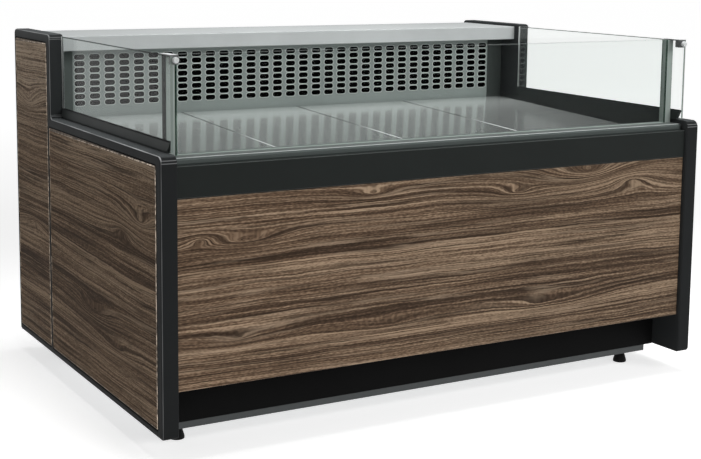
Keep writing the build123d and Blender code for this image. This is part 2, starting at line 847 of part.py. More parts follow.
# Coils: two end plates, fins between them and straight tubes through all of it
def finned_coil(middle, size, fin_pitch, tube_radius, tube_pitch):
    """A finned coil with its tubes along X, around a middle point, of a width, depth and height."""
    middle_x, middle_y, middle_z = middle
    width, depth, height = size
    with BuildPart() as coil:
        fin_count = copies_along(width - 2 * fin_pitch, fin_thickness, fin_pitch)
        with Locations(middle):
            with GridLocations(width - coil_end_plate, 1, 2, 1):
                Box(coil_end_plate, depth, height)
            with GridLocations(fin_pitch, 1, fin_count, 1):
                Box(fin_thickness, depth - 2 * tube_radius, height - 2 * tube_radius)
        tube_columns = copies_along(depth - 2 * tube_radius, 2 * tube_radius, tube_pitch)
        tube_rows = copies_along(height - 2 * tube_radius, 2 * tube_radius, tube_pitch)
        with BuildSketch(Plane.YZ.offset(middle_x - width / 2)):
            with Locations((middle_y, middle_z)):
                with GridLocations(tube_pitch, tube_pitch, tube_columns, tube_rows):
                    Circle(tube_radius)
        extrude(amount=width)
    return coil.part


evaporator_size = (
    2 * (half_inner - evaporator_side_gap),
    evaporator_rear_y - evaporator_front_y,
    evaporator_height,
)
evaporator = finned_coil(
    (0, (evaporator_front_y + evaporator_rear_y) / 2, evaporator_z),
    evaporator_size,
    evaporator_fin_pitch,
    evaporator_tube_radius,
    evaporator_tube_pitch,
)
save(evaporator, "evaporator_coil")


# Base: two tubular beams with threaded bosses, a pan on top of them, four levelling feet
beam_y = {"front": kick_back_y, "rear": rear_beam_back_y - beam_depth}
foot_y = {"front": kick_back_y + foot_inset, "rear": rear_beam_back_y - foot_inset}
beam_middle_z = beam_z + beam_height / 2
foot_hex_z = foot_pad_height + foot_cone_height
for place, start_y in beam_y.items():
    with BuildPart() as beam:
        with BuildSketch(Plane.YZ):
            with Locations((start_y + beam_depth / 2, beam_middle_z)):
                Rectangle(beam_depth, beam_height)
                Rectangle(beam_depth - 2 * beam_wall, beam_height - 2 * beam_wall, mode=Mode.SUBTRACT)
        extrude(amount=beam_half, both=True)
        with Locations(*[(sign * foot_x, foot_y[place], beam_middle_z) for sign in sides.values()]):
            Cylinder(foot_boss_radius, beam_height)
            Cylinder(foot_stem_radius + bore_clearance, beam_height, mode=Mode.SUBTRACT)
    save(beam.part, f"base_{place}_beam")

    for side, sign in sides.items():
        with BuildPart(Plane(origin=(sign * foot_x, foot_y[place], 0))) as foot:
            Cylinder(foot_pad_radius, foot_pad_height, align=standing)
            fillet(foot.edges().group_by(Axis.Z)[0], foot_edge_radius)
            with Locations((0, 0, foot_pad_height)):
                Cone(foot_pad_radius, foot_neck_radius, foot_cone_height, align=standing)
            with BuildSketch(Plane(origin=(sign * foot_x, foot_y[place], foot_hex_z))):
                RegularPolygon(foot_hex_radius, 6)
            extrude(amount=foot_hex_height)
            Cylinder(foot_stem_radius, beam_z + foot_engagement, align=standing)
        save(foot.part, f"foot_{place}_{side}")

with BuildPart() as base_pan:
    with Locations((0, (kick_back_y + rear_face_y) / 2, pan_z)):
        Box(inner_width, rear_face_y - kick_back_y, sheet, align=standing)
save(base_pan.part, "base_pan")


# Rear: a plain upper panel, and a vent panel with slots and windows for the inlet and the controller
outer_y = rear_face_y + sheet
controls_x = half_inner - controls_inset
controller_z = tank_z - controller_drop
inlet_z = vent_z + inlet_rise
vent_left_x = -(half_inner - vent_margin)
vent_right_x = controls_x - bezel_width / 2 - vent_margin
vent_columns = copies_along(vent_right_x - vent_left_x, vent_slot_length, vent_pitch_x)
vent_rows = copies_along(vent_top_z - vent_z - 2 * vent_margin, vent_slot_width, vent_pitch_z)
for panel_name, (z_low, z_high) in rear_panels.items():
    with BuildPart() as rear_panel:
        with BuildSketch(Plane.XZ.offset(-rear_face_y)):
            with Locations((0, (z_low + z_high) / 2)):
                Rectangle(2 * cover_half, z_high - z_low)
            panel_rows = screw_rows[panel_name]
            with Locations(*[(sign * screw_x, z) for sign in sides.values() for z in panel_rows]):
                Circle(screw_radius + screw_hole_clearance, mode=Mode.SUBTRACT)
            if panel_name == "rear_vent_panel":
                with Locations(((vent_left_x + vent_right_x) / 2, (z_low + z_high) / 2)):
                    with GridLocations(vent_pitch_x, vent_pitch_z, vent_columns, vent_rows):
                        SlotOverall(vent_slot_length, vent_slot_width, mode=Mode.SUBTRACT)
                with Locations((controls_x, controller_z)):
                    Rectangle(
                        controller_body_width + 2 * seat_gap,
                        controller_body_height + 2 * seat_gap,
                        mode=Mode.SUBTRACT,
                    )
                with Locations((controls_x, inlet_z)):
                    Rectangle(
                        inlet_body_width + 2 * seat_gap,
                        inlet_body_height + 2 * seat_gap,
                        mode=Mode.SUBTRACT,
                    )
        extrude(amount=-sheet)
    save(rear_panel.part, panel_name)

with BuildPart() as panel_screws:
    with Locations(*[(sign * screw_x, outer_y, z) for sign in sides.values() for z in all_screw_rows]):
        Cylinder(screw_head_radius, screw_head_height, rotation=along_y, align=hanging)
        Cylinder(screw_radius, screw_length, rotation=along_y, align=standing)
save(panel_screws.part, "panel_screws")


# Condensing unit on the pan: condenser, shroud, fan, motor on a bracket, compressor
condenser_x = -condenser_offset
condenser_rear_y = rear_face_y - condenser_rear_gap
condenser_front_y = condenser_rear_y - condenser_depth
condenser_y = (condenser_front_y + condenser_rear_y) / 2
condenser_height = tank_z - condenser_headroom - pan_top_z
condenser_z = pan_top_z + condenser_height / 2
condenser = finned_coil(
    (condenser_x, condenser_y, condenser_z),
    (condenser_width, condenser_depth, condenser_height),
    condenser_fin_pitch,
    condenser_tube_radius,
    condenser_tube_pitch,
)
save(condenser, "condenser_coil")

shroud_front_y = condenser_front_y - shroud_depth
shroud_hole_radius = condenser_height / 2 - shroud_hole_margin
with BuildPart() as condenser_shroud:
    with BuildSketch(Plane.XZ.offset(-condenser_front_y)):
        with Locations((condenser_x, condenser_z)):
            Rectangle(condenser_width, condenser_height)
            Rectangle(condenser_width - 2 * sheet, condenser_height - 2 * sheet, mode=Mode.SUBTRACT)
    extrude(amount=shroud_depth)
    with BuildSketch(Plane.XZ.offset(-shroud_front_y)):
        with Locations((condenser_x, condenser_z)):
            Rectangle(condenser_width, condenser_height)
            Circle(shroud_hole_radius, mode=Mode.SUBTRACT)
    extrude(amount=-sheet)
save(condenser_shroud.part, "condenser_shroud")

condenser_fan_y = shroud_front_y + sheet / 2
condenser_fan = fan_wheel(
    (condenser_x, condenser_fan_y, condenser_z),
    condenser_hub_radius,
    shroud_hole_radius - condenser_tip_gap,
    condenser_fan_depth,
    condenser_blades,
    condenser_chord,
    condenser_blade_thickness,
    condenser_pitch,
    condenser_shaft_radius,
)
save(condenser_fan, "condenser_fan")

condenser_motor_y = condenser_fan_y - condenser_fan_depth / 2 - condenser_motor_gap
bracket_y = condenser_motor_y - condenser_motor_length / 2
with BuildPart() as condenser_motor:
    with Locations((condenser_x, condenser_motor_y, condenser_z)):
        Cylinder(condenser_motor_radius, condenser_motor_length, rotation=along_y, align=standing)
        Cylinder(
            condenser_shaft_radius,
            condenser_motor_gap + condenser_fan_depth,
            rotation=along_y,
            align=hanging,
        )
    with Locations((condenser_x, bracket_y, pan_top_z)):
        Box(motor_bracket_width, motor_bracket_thickness, condenser_height / 2, align=standing)
        Box(motor_bracket_width, motor_foot_depth, motor_bracket_thickness, align=standing)
save(condenser_motor.part, "condenser_fan_motor")

compressor_plate_z = pan_top_z + compressor_grommet_height
compressor_body_z = compressor_plate_z + compressor_plate
compressor_top_z = compressor_body_z + compressor_height
with BuildPart() as compressor:
    with Locations((compressor_offset, compressor_y, compressor_body_z)):
        Cylinder(compressor_radius, compressor_height, align=standing)
    fillet(compressor.edges().filter_by(GeomType.CIRCLE), compressor_dome)
    with Locations((compressor_offset, compressor_y, compressor_plate_z)):
        Box(compressor_plate_width, compressor_plate_depth, compressor_plate, align=standing)
        with GridLocations(
            compressor_plate_width - 2 * compressor_grommet_inset,
            compressor_plate_depth - 2 * compressor_grommet_inset,
            2,
            2,
        ):
            Cylinder(compressor_grommet_radius, compressor_grommet_height, align=hanging)
    with Locations(
        (compressor_offset, compressor_y - compressor_radius, compressor_body_z + compressor_height / 2)
    ):
        Box(terminal_box_width, terminal_box_depth, terminal_box_height)
save(compressor.part, "compressor")

# Refrigerant pipes: suction, liquid and discharge, bent round at every corner
coil_end_x = half_inner - evaporator_side_gap
suction_y = evaporator_rear_y - pipe_margin
suction_z = evaporator_z + evaporator_height / 4
liquid_end_y = suction_y - pipe_margin
liquid_end_z = evaporator_z - evaporator_height / 4
suction_port_x = compressor_offset + port_offset
discharge_port_x = compressor_offset - port_offset
condenser_end_x = condenser_x + condenser_width / 2
condenser_out_z = pan_top_z + pipe_margin
condenser_in_z = pan_top_z + condenser_height - pipe_margin
pipe_turn_x = condenser_end_x + 2 * pipe_margin
pipe_lines = {
    "suction": (
        (coil_end_x, suction_y, suction_z),
        (pipe_x["suction"], suction_y, suction_z),
        (pipe_x["suction"], pipe_y["suction"], suction_z),
        (pipe_x["suction"], pipe_y["suction"], pipe_run_z),
        (suction_port_x, compressor_y, pipe_run_z),
        (suction_port_x, compressor_y, compressor_top_z),
    ),
    "liquid": (
        (condenser_end_x, condenser_y, condenser_out_z),
        (pipe_x["liquid"], condenser_y, condenser_out_z),
        (pipe_x["liquid"], condenser_y, pipe_run_z),
        (pipe_x["liquid"], pipe_y["liquid"], pipe_run_z),
        (pipe_x["liquid"], pipe_y["liquid"], liquid_end_z),
        (pipe_x["liquid"], liquid_end_y, liquid_end_z),
        (coil_end_x, liquid_end_y, liquid_end_z),
    ),
    "discharge": (
        (discharge_port_x, compressor_y, compressor_top_z),
        (discharge_port_x, compressor_y, pipe_run_z),
        (discharge_port_x, condenser_y, pipe_run_z),
        (pipe_turn_x, condenser_y, pipe_run_z),
        (pipe_turn_x, condenser_y, condenser_in_z),
        (condenser_end_x, condenser_y, condenser_in_z),
    ),
}
with BuildPart() as refrigerant_pipes:
    for line_name, corners in pipe_lines.items():
        with BuildLine() as pipe_path:
            FilletPolyline(*corners, radius=pipe_bend)
        with BuildSketch(Plane(origin=pipe_path.line @ 0, z_dir=pipe_path.line % 0)):
            Circle(pipe_radius[line_name])
        sweep(path=pipe_path.line)
save(refrigerant_pipes.part, "refrigerant_pipes")


# Temperature controller: a bezel on the vent panel, a body behind it, a display window, three keys
bezel_face_y = outer_y + bezel_thickness
key_places = {
    key_name: controls_x - key_shift + (place - 1) * key_pitch
    for place, key_name in enumerate(key_names)
}
key_pocket_depth = key_depth - key_proud + key_travel_room
with BuildPart() as controller:
    with BuildSketch(Plane.XZ.offset(-outer_y)):
        with Locations((controls_x, controller_z)):
            RectangleRounded(bezel_width, bezel_height, bezel_radius)
    extrude(amount=-bezel_thickness)
    with Locations((controls_x, outer_y - controller_body_depth / 2, controller_z)):
        Box(controller_body_width, controller_body_depth, controller_body_height)
    with Locations((controls_x + display_shift, bezel_face_y, controller_z)):
        Box(display_width, 2 * display_recess, display_height, mode=Mode.SUBTRACT)
    with Locations(*[(key_x, bezel_face_y, controller_z) for key_x in key_places.values()]):
        Box(
            key_width + 2 * key_clearance,
            2 * key_pocket_depth,
            key_height + 2 * key_clearance,
            mode=Mode.SUBTRACT,
        )
save(controller.part, "controller")

for key_name, key_x in key_places.items():
    with BuildPart() as controller_key:
        with Locations((key_x, bezel_face_y + key_proud - key_depth / 2, controller_z)):
            Box(key_width, key_depth, key_height)
    save(controller_key.part, f"controller_key_{key_name}")

# Mains inlet with a recessed three-pin socket and a window for the rocker of the main switch
inlet_face_y = outer_y + inlet_thickness
socket_floor_y = inlet_face_y - socket_depth
rocker_y = inlet_face_y - rocker_sink
rocker_z = inlet_z + rocker_shift
rocker_lean = sin(radians(rocker_tilt))
rocker_stand = cos(radians(rocker_tilt))
window_height = rocker_height * rocker_stand + rocker_depth * rocker_lean + 2 * key_clearance
window_depth = (rocker_depth * rocker_stand + rocker_height * rocker_lean) / 2 + key_clearance + rocker_sink
with BuildPart() as mains_inlet:
    with BuildSketch(Plane.XZ.offset(-outer_y)):
        with Locations((controls_x, inlet_z)):
            RectangleRounded(inlet_width, inlet_height, inlet_radius)
    extrude(amount=-inlet_thickness)
    with Locations((controls_x, outer_y - inlet_body_depth / 2, inlet_z)):
        Box(inlet_body_width, inlet_body_depth, inlet_body_height)
    with Locations((controls_x, inlet_face_y, inlet_z - socket_shift)):
        Box(socket_width, 2 * socket_depth, socket_height, mode=Mode.SUBTRACT)
    with Locations((controls_x, inlet_face_y, rocker_z)):
        Box(rocker_width + 2 * key_clearance, 2 * window_depth, window_height, mode=Mode.SUBTRACT)
    with Locations((controls_x, socket_floor_y, inlet_z - socket_shift)):
        with GridLocations(socket_pin_pitch, 1, 3, 1):
            Cylinder(socket_pin_radius, socket_pin_length, rotation=along_y, align=hanging)
save(mains_inlet.part, "mains_inlet")

rocker_plane = Plane(
    origin=(controls_x, rocker_y, rocker_z),
    x_dir=(1, 0, 0),
    z_dir=(0, rocker_stand, -rocker_lean),
)
with BuildPart(rocker_plane) as main_switch:
    Box(rocker_width, rocker_height, rocker_depth)
save(main_switch.part, "main_switch")
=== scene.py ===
import json
from math import cos, pi, radians, sin

import bmesh
import bpy
from mathutils import Matrix, Vector
from mathutils.geometry import convex_hull_2d


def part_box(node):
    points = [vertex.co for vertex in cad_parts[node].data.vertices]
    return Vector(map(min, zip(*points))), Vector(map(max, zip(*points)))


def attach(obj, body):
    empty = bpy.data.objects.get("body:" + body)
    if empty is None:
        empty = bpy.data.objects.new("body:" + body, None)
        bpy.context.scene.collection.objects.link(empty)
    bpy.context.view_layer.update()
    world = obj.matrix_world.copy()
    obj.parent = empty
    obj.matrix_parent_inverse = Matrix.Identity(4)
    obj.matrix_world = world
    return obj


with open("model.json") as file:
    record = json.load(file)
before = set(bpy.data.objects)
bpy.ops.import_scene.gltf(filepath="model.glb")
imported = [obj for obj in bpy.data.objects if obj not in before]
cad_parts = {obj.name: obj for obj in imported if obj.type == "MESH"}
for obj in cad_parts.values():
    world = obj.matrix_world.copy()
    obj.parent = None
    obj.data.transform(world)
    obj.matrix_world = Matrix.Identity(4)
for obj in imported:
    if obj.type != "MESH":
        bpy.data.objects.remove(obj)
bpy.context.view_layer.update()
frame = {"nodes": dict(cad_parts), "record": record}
nodes = frame["nodes"]
scene = bpy.context.scene

SIDES = ("left", "right")
EULER = 2.718
NOISE_LOW, NOISE_HIGH = 0.3, 0.7  # most values of a noise lie between these
SOFT = 0.00025  # half the width of a stripe's soft border


# Node graphs
class Graph:
    """Short calls that add nodes to a tree; each returns the socket that carries its result."""

    def __init__(self, tree):
        self.tree = tree
        self.places = tree.nodes.new("ShaderNodeTexCoord")

    def put(self, socket, value):
        """Links a socket to another one, or sets its plain value."""
        if isinstance(value, bpy.types.NodeSocket):
            self.tree.links.new(value, socket)
        elif socket.type == "RGBA":
            socket.default_value = (*value, 1.0)
        else:
            socket.default_value = value

    def add(self, kind, inputs, out=0, **settings):
        node = self.tree.nodes.new("ShaderNode" + kind)
        for key, value in settings.items():
            setattr(node, key, value)
        for key, value in inputs.items():
            self.put(node.inputs[key], value)
        return node.outputs[out]

    def math(self, operation, first, second=0.0):
        return self.add("Math", {0: first, 1: second}, operation=operation)

    def plus(self, first, second):
        return self.math("ADD", first, second)

    def minus(self, first, second):
        return self.math("SUBTRACT", first, second)

    def times(self, first, second):
        return self.math("MULTIPLY", first, second)

    def most(self, first, second):
        return self.math("MAXIMUM", first, second)

    def size(self, value):
        return self.math("ABSOLUTE", value)

    def spread(self, value, low, high, to_low=0.0, to_high=1.0):
        """Carries the range from low to high over to another range and stops at its ends."""
        ends = {"From Min": low, "From Max": high, "To Min": to_low, "To Max": to_high}
        return self.add("MapRange", {"Value": value, **ends})

    def light_path(self):
        return self.tree.nodes.new("ShaderNodeLightPath").outputs

    def seen(self, path):
        """One on rays from the eye, straight, mirrored or through glass; nought on plain light."""
        straight = self.most(path["Is Camera Ray"], path["Is Glossy Ray"])
        return self.most(straight, path["Is Transmission Ray"])


class Shader(Graph):
    """A material with one principled shader; places and normals are in the frame of the case."""

    def __init__(self, name):
        self.material = bpy.data.materials.new(name)
        self.material.use_nodes = True
        self.material.node_tree.nodes.clear()
        super().__init__(self.material.node_tree)
        self.output = self.tree.nodes.new("ShaderNodeOutputMaterial")
        self.bsdf = self.tree.nodes.new("ShaderNodeBsdfPrincipled")
        self.put(self.output.inputs["Surface"], self.bsdf.outputs[0])

    def set(self, **values):
        for key, value in values.items():
            self.put(self.bsdf.inputs[key.replace("_", " ")], value)

    def point(self, scale=(1, 1, 1)):
        return self.add("Mapping", {"Vector": self.places.outputs["Object"], "Scale": scale})

    def at(self, axis):
        """Place along an axis, in metres."""
        return self.add("SeparateXYZ", {0: self.places.outputs["Object"]}, out=axis)

    def facing(self, axis):
        """How far a face looks along an axis."""
        return self.add("SeparateXYZ", {0: self.places.outputs["Normal"]}, out=axis)

    def noise(self, vector, scale=1.0, detail=2.0, rough=0.5):
        kind = {"Scale": scale, "Detail": detail, "Roughness": rough}
        return self.add("TexNoise", {"Vector": vector, **kind})

    def vary(self, noise, low=0.0, high=1.0):
        """Carries the usual values of a noise over to another range."""
        return self.spread(noise, NOISE_LOW, NOISE_HIGH, low, high)

    def ramp(self, value, *stops):
        node = self.tree.nodes.new("ShaderNodeValToRGB")
        while len(node.color_ramp.elements) < len(stops):
            node.color_ramp.elements.new(0.5)
        for element, (place, colour) in zip(node.color_ramp.elements, stops):
            element.position = place
            element.color = (*colour, 1.0)
        self.put(node.inputs[0], value)
        return node.outputs[0]

    def mix(self, share, first, second, blend="MIX"):
        colours = {0: share, 6: first, 7: second}
        return self.add("Mix", colours, out=2, data_type="RGBA", blend_type=blend)

    def bump(self, height, strength, distance):
        return self.add("Bump", {"Height": height, "Strength": strength, "Distance": distance})

    def flatness(self):
        """Largest part of the normal: one on flat faces along the axes, less on rounded edges."""
        flat = 0.0
        for axis in "XYZ":
            flat = self.most(self.size(self.facing(axis)), flat)
        return flat

    def edges(self):
        """One on rounded and bevelled edges, nought on the flat faces along the axes."""
        return self.spread(self.flatness(), 0.995, 0.90)

    def outward(self):
        """How far a face looks away from the middle of the case, to its left or right."""
        return self.times(self.facing("X"), self.math("SIGN", self.at("X")))

    def front_or_top(self):
        """How far a face looks to the front or up, whichever is more."""
        return self.most(self.times(self.facing("Y"), -1.0), self.facing("Z"))

    def stripe(self, axis, start, end):
        """One between two places along an axis, with soft borders."""
        place = self.at(axis)
        rise = self.spread(place, start - SOFT, start + SOFT)
        return self.times(rise, self.spread(place, end + SOFT, end - SOFT))


def tint(colour, factor):
    return tuple(min(1.0, part * factor) for part in colour)


# Paint and plastic
def painted(s, colour, rough, dust_share, dust_gain):
    """Colour and roughness of a painted skin: both a little uneven, with faint dust."""
    broad = s.noise(s.point(), 7.0, detail=4.0, rough=0.6)
    dust = s.spread(s.noise(s.point(), 160.0, detail=3.0, rough=0.7), 0.62, 0.80)
    body = s.mix(s.vary(broad), tint(colour, 0.95), tint(colour, 1.05))
    body = s.mix(s.times(dust, dust_share), body, tint(colour, dust_gain))
    return body, s.plus(s.vary(broad, rough - 0.05, rough + 0.05), s.times(dust, 0.08))


def coated(name, colour, rough=0.45, peel=420.0, depth=0.10, edge=2.2, specular=0.4, painted_side_shade=None):
    """Paint or moulded plastic: fine texture, uneven gloss, edges rubbed a little lighter.

    peel and depth are the scale and strength of the texture, edge is the gain of rubbed edges,
    and the faces that look neither to the front nor to the rear take the last colour, a painted
    shade.
    """
    s = Shader(name)
    body, gloss = painted(s, colour, rough, dust_share=0.10, dust_gain=2.0)
    wear = s.spread(s.noise(s.point(), 55.0, detail=3.0), 0.35, 0.7, 0.1, 0.35)
    body = s.mix(s.times(s.edges(), wear), body, tint(colour, edge))
    # Walls of slots and other faces that look neither to the front nor to the rear: painted shade
    if painted_side_shade:
        body = s.mix(s.spread(s.size(s.facing("Y")), 0.8, 0.5), body, painted_side_shade)
    s.set(
        Base_Color=body,
        Roughness=gloss,
        Normal=s.bump(s.noise(s.point(), peel), strength=depth, distance=0.0004),
        Specular_IOR_Level=specular,
    )
    return s.material


def shell_tones(s, colour, body, edge_highlight):
    """Painted light on the shell: highlight on outer edges only, shade low down, light on the
    column.
    """
    rear = s.spread(s.at("Y"), 0.10, -0.50, 0.5, 1.0)
    upper = s.spread(s.facing("Z"), 0.15, 0.45, 0.26, 1.0)
    column = s.spread(s.facing("Y"), -0.2, -0.5, 0.0, 0.42)
    column = s.times(s.spread(s.at("Y"), 0.18, 0.23), column)
    edge_highlight = s.times(edge_highlight, s.spread(s.outward(), 0.25, 0.5))
    edge_highlight = s.times(edge_highlight, s.most(s.times(rear, upper), column))
    # Outer faces darker low down: painted shade
    lower = s.spread(s.at("Z"), 0.45, 0.65, 0.62, 0.05)
    body = s.mix(s.times(s.spread(s.outward(), 0.9, 0.99), lower), body, tint(colour, 0.3))
    # Front faces at the column lighter: painted light
    frontal = s.spread(s.facing("Y"), -0.8, -0.95)
    frontal = s.times(frontal, s.spread(s.at("Y"), 0.10, 0.20, 0.0, 0.7))
    body = s.mix(frontal, body, tint(colour, 1.8))
    # A lighter band round the top of the outer faces: painted highlight
    crest = s.times(s.spread(s.at("Z"), 0.908, 0.932), s.spread(s.outward(), 0.3, 0.8))
    return s.mix(crest, body, tint(colour, 2.6)), edge_highlight


def satin(name, colour, line, rough=0.44, top=1.5, inner=1.0, shell=False):
    """Satin black skin: a thin painted highlight, partly metallic, along rounded edges; grain,
    faint dust.

    top and inner are the gains of the faces that look up and of those that look to the middle
    of the case, painted light and shade. The shell of the side panels has painted light of its own
    and a painted highlight along its front crease.
    """
    s = Shader(name)
    body, gloss = painted(s, colour, rough, dust_share=0.12, dust_gain=2.2)
    # Faces that look up and faces that look to the middle take lighter or darker copies of the
    # colour: painted light and shade
    body = s.mix(s.spread(s.facing("Z"), 0.75, 0.97), body, tint(colour, top))
    body = s.mix(s.spread(s.outward(), -0.70, -0.95), body, tint(colour, inner))
    # Along the middle of rounded edges the colour turns to the line colour, a painted highlight,
    # and is made partly metallic below
    edge_highlight = s.spread(s.flatness(), 0.89, 0.79)
    edge_highlight = s.times(edge_highlight, s.vary(s.noise(s.point(), 9.0), 0.5, 1.0))
    if shell:
        body, edge_highlight = shell_tones(s, colour, body, edge_highlight)
    body = s.mix(edge_highlight, body, line)
    if shell:
        # A band of the line colour along the front's large rounded edge: painted highlight
        bend = s.size(s.minus(s.size(s.minus(s.facing("Z"), 0.25)), 0.17))
        crease = s.times(s.spread(bend, 0.08, 0.03), s.spread(s.facing("Y"), -0.6, -0.85))
        body = s.mix(s.times(crease, 0.20), body, line)
    s.set(
        Base_Color=body,
        Roughness=gloss,
        Normal=s.bump(s.noise(s.point(), 520.0), strength=0.08, distance=0.0004),
        Metallic=s.times(edge_highlight, 0.7),
        Specular_IOR_Level=0.02 if shell else 0.06,
    )
    return s.material


# Walnut decor: tones from dark to pale
WOOD_TONES = (
    (0.06, (0.030, 0.019, 0.012)),
    (0.34, (0.074, 0.047, 0.030)),
    (0.52, (0.128, 0.083, 0.053)),
    (0.68, (0.195, 0.133, 0.087)),
    (0.94, (0.360, 0.260, 0.175)),
)
# Pore colour, and the tan of the rim, part edge colour and part painted highlight
PORE_BROWN, RIM_TAN_AND_HIGHLIGHT = (0.030, 0.019, 0.012), (0.60, 0.50, 0.40)
RING_PITCH = 0.013
# Waves of the grain: scale along it, scale across it, detail, roughness and reach in metres
GRAIN_WAVES = (
    (1.0, 2.6, 2.0, 0.5, 0.018),
    (6.0, 16.0, 3.0, 0.6, 0.0055),
    (45.0, 110.0, 2.0, 0.6, 0.0007),
)
# Streaks: weight, scale along the grain, scale across it and detail
STREAKS = (
    (0.20, 0.5, 24.0, 2.0),
    (0.22, 1.2, 85.0, 2.0),
    (0.34, 1.3, 250.0, 1.0),
    (0.32, 2.5, 380.0, 0.0),
    (0.22, 110.0, 380.0, 0.0),
)
# Thin lines: scale along the grain, scale across it, width, shift of the noise, share and colour
VEINS = (
    (0.9, 70.0, 0.050, 7.0, 0.90, (0.026, 0.016, 0.010)),
    (1.5, 130.0, 0.070, 11.0, 0.65, (0.036, 0.022, 0.014)),
    (1.0, 60.0, 0.040, 19.0, 0.55, (0.40, 0.30, 0.21)),
)
# Sudden steps of the tone: height, reach, change above it and change below it
FRONT_STEPS = (
    (0.575, 0.020, -0.05, 0.10),
    (0.520, 0.018, 0.08, -0.10),
    (0.447, 0.032, -0.26, 0.30),
    (0.364, 0.024, 0.04, -0.20),
    (0.268, 0.028, -0.18, 0.16),
    (0.228, 0.010, 0.06, -0.14),
)
SIDE_STEPS = FRONT_STEPS + ((0.94, 0.20, 0.36, 0.36),)
# Figures that the grain bends round: place along it, height, half length, half height and lift
FRONT_FIGURES = (
    (0.42, 0.598, 0.13, 0.036, 0.075),
    (0.57, 0.560, 0.10, 0.026, -0.050),
    (0.19, 0.556, 0.08, 0.018, 0.034),
    (-0.24, 0.586, 0.07, 0.013, 0.022),
    (-0.58, 0.503, 0.10, 0.016, 0.032),
    (-0.69, 0.510, 0.04, 0.015, -0.026),
    (-0.60, 0.273, 0.16, 0.022, 0.024),
    (0.27, 0.255, 0.22, 0.026, 0.031),
    (-0.18, 0.258, 0.16, 0.020, 0.022),
)
SIDE_FIGURES = (
    (-0.42, 0.590, 0.11, 0.030, 0.046),
    (-0.30, 0.545, 0.08, 0.020, -0.030),
    (-0.10, 0.310, 0.13, 0.024, 0.036),
    (-0.25, 0.250, 0.16, 0.020, 0.026),
    (0.42, 0.790, 0.10, 0.034, 0.036),
    (0.38, 0.450, 0.12, 0.022, -0.030),
)


def stretched(s, vector, run_scale, rise_scale, detail=2.0, rough=0.6, shift=0.0):
    """Noise drawn out along the grain; the shift takes another part of it."""
    place = {"Scale": (run_scale, rise_scale, 1.0), "Location": (0.0, 0.0, shift)}
    return s.noise(s.add("Mapping", {"Vector": vector, **place}), 1.0, detail, rough)


def fading(s, distance, rate):
    """Falls from one towards nought with distance."""
    return s.math("POWER", EULER, s.times(distance, -rate))


def grain_level(s, flat, rise, figures):
    """Height across the grain, waved and bent round the figures, and how near a figure is."""
    level, near = rise, 0.0
    for run_scale, rise_scale, detail, rough, reach in GRAIN_WAVES:
        wave = stretched(s, flat, run_scale, rise_scale, detail, rough)
        level = s.plus(level, s.spread(wave, 0.0, 1.0, -reach, reach))
    for at_run, at_rise, long, tall, lift in figures:
        place = {"Location": (-at_run / long, -at_rise / tall, 0), "Scale": (1 / long, 1 / tall, 0)}
        off = s.add("Mapping", {"Vector": flat, **place})
        far = s.add("VectorMath", {0: off}, out="Value", operation="LENGTH")
        level = s.plus(level, s.times(fading(s, s.math("POWER", far, 1.3), 1.0), lift))
        near = s.most(near, fading(s, far, 0.6))
    return level, near


def grain_tone(s, flat, grain, level, near, steps):
    """Tone from dark to pale: streaks, sudden steps, and rings that are strongest at figures."""
    tone = -0.06
    for weight, run_scale, rise_scale, detail in STREAKS:
        streak = s.spread(stretched(s, grain, run_scale, rise_scale, detail), 0.34, 0.66)
        tone = s.plus(s.times(streak, weight), tone)
    for at_level, reach, above, below in steps:
        off = s.minus(at_level, level)
        change = s.spread(off, -0.001, 0.001, above, below)
        tone = s.plus(tone, s.times(fading(s, s.size(off), 1 / reach), change))
    drift = s.spread(stretched(s, grain, 0.9, 30.0), 0.0, 1.0, -1.5, 1.5)
    ring = s.math("FRACT", s.plus(s.math("DIVIDE", level, RING_PITCH), drift))
    depth = s.spread(stretched(s, flat, 2.2, 11.0, shift=5.0), 0.42, 0.62, 0.04, 0.22)
    depth = s.plus(depth, s.spread(near, 0.15, 0.7, 0.0, 0.28))
    return s.plus(tone, s.times(s.minus(ring, 0.5), depth))


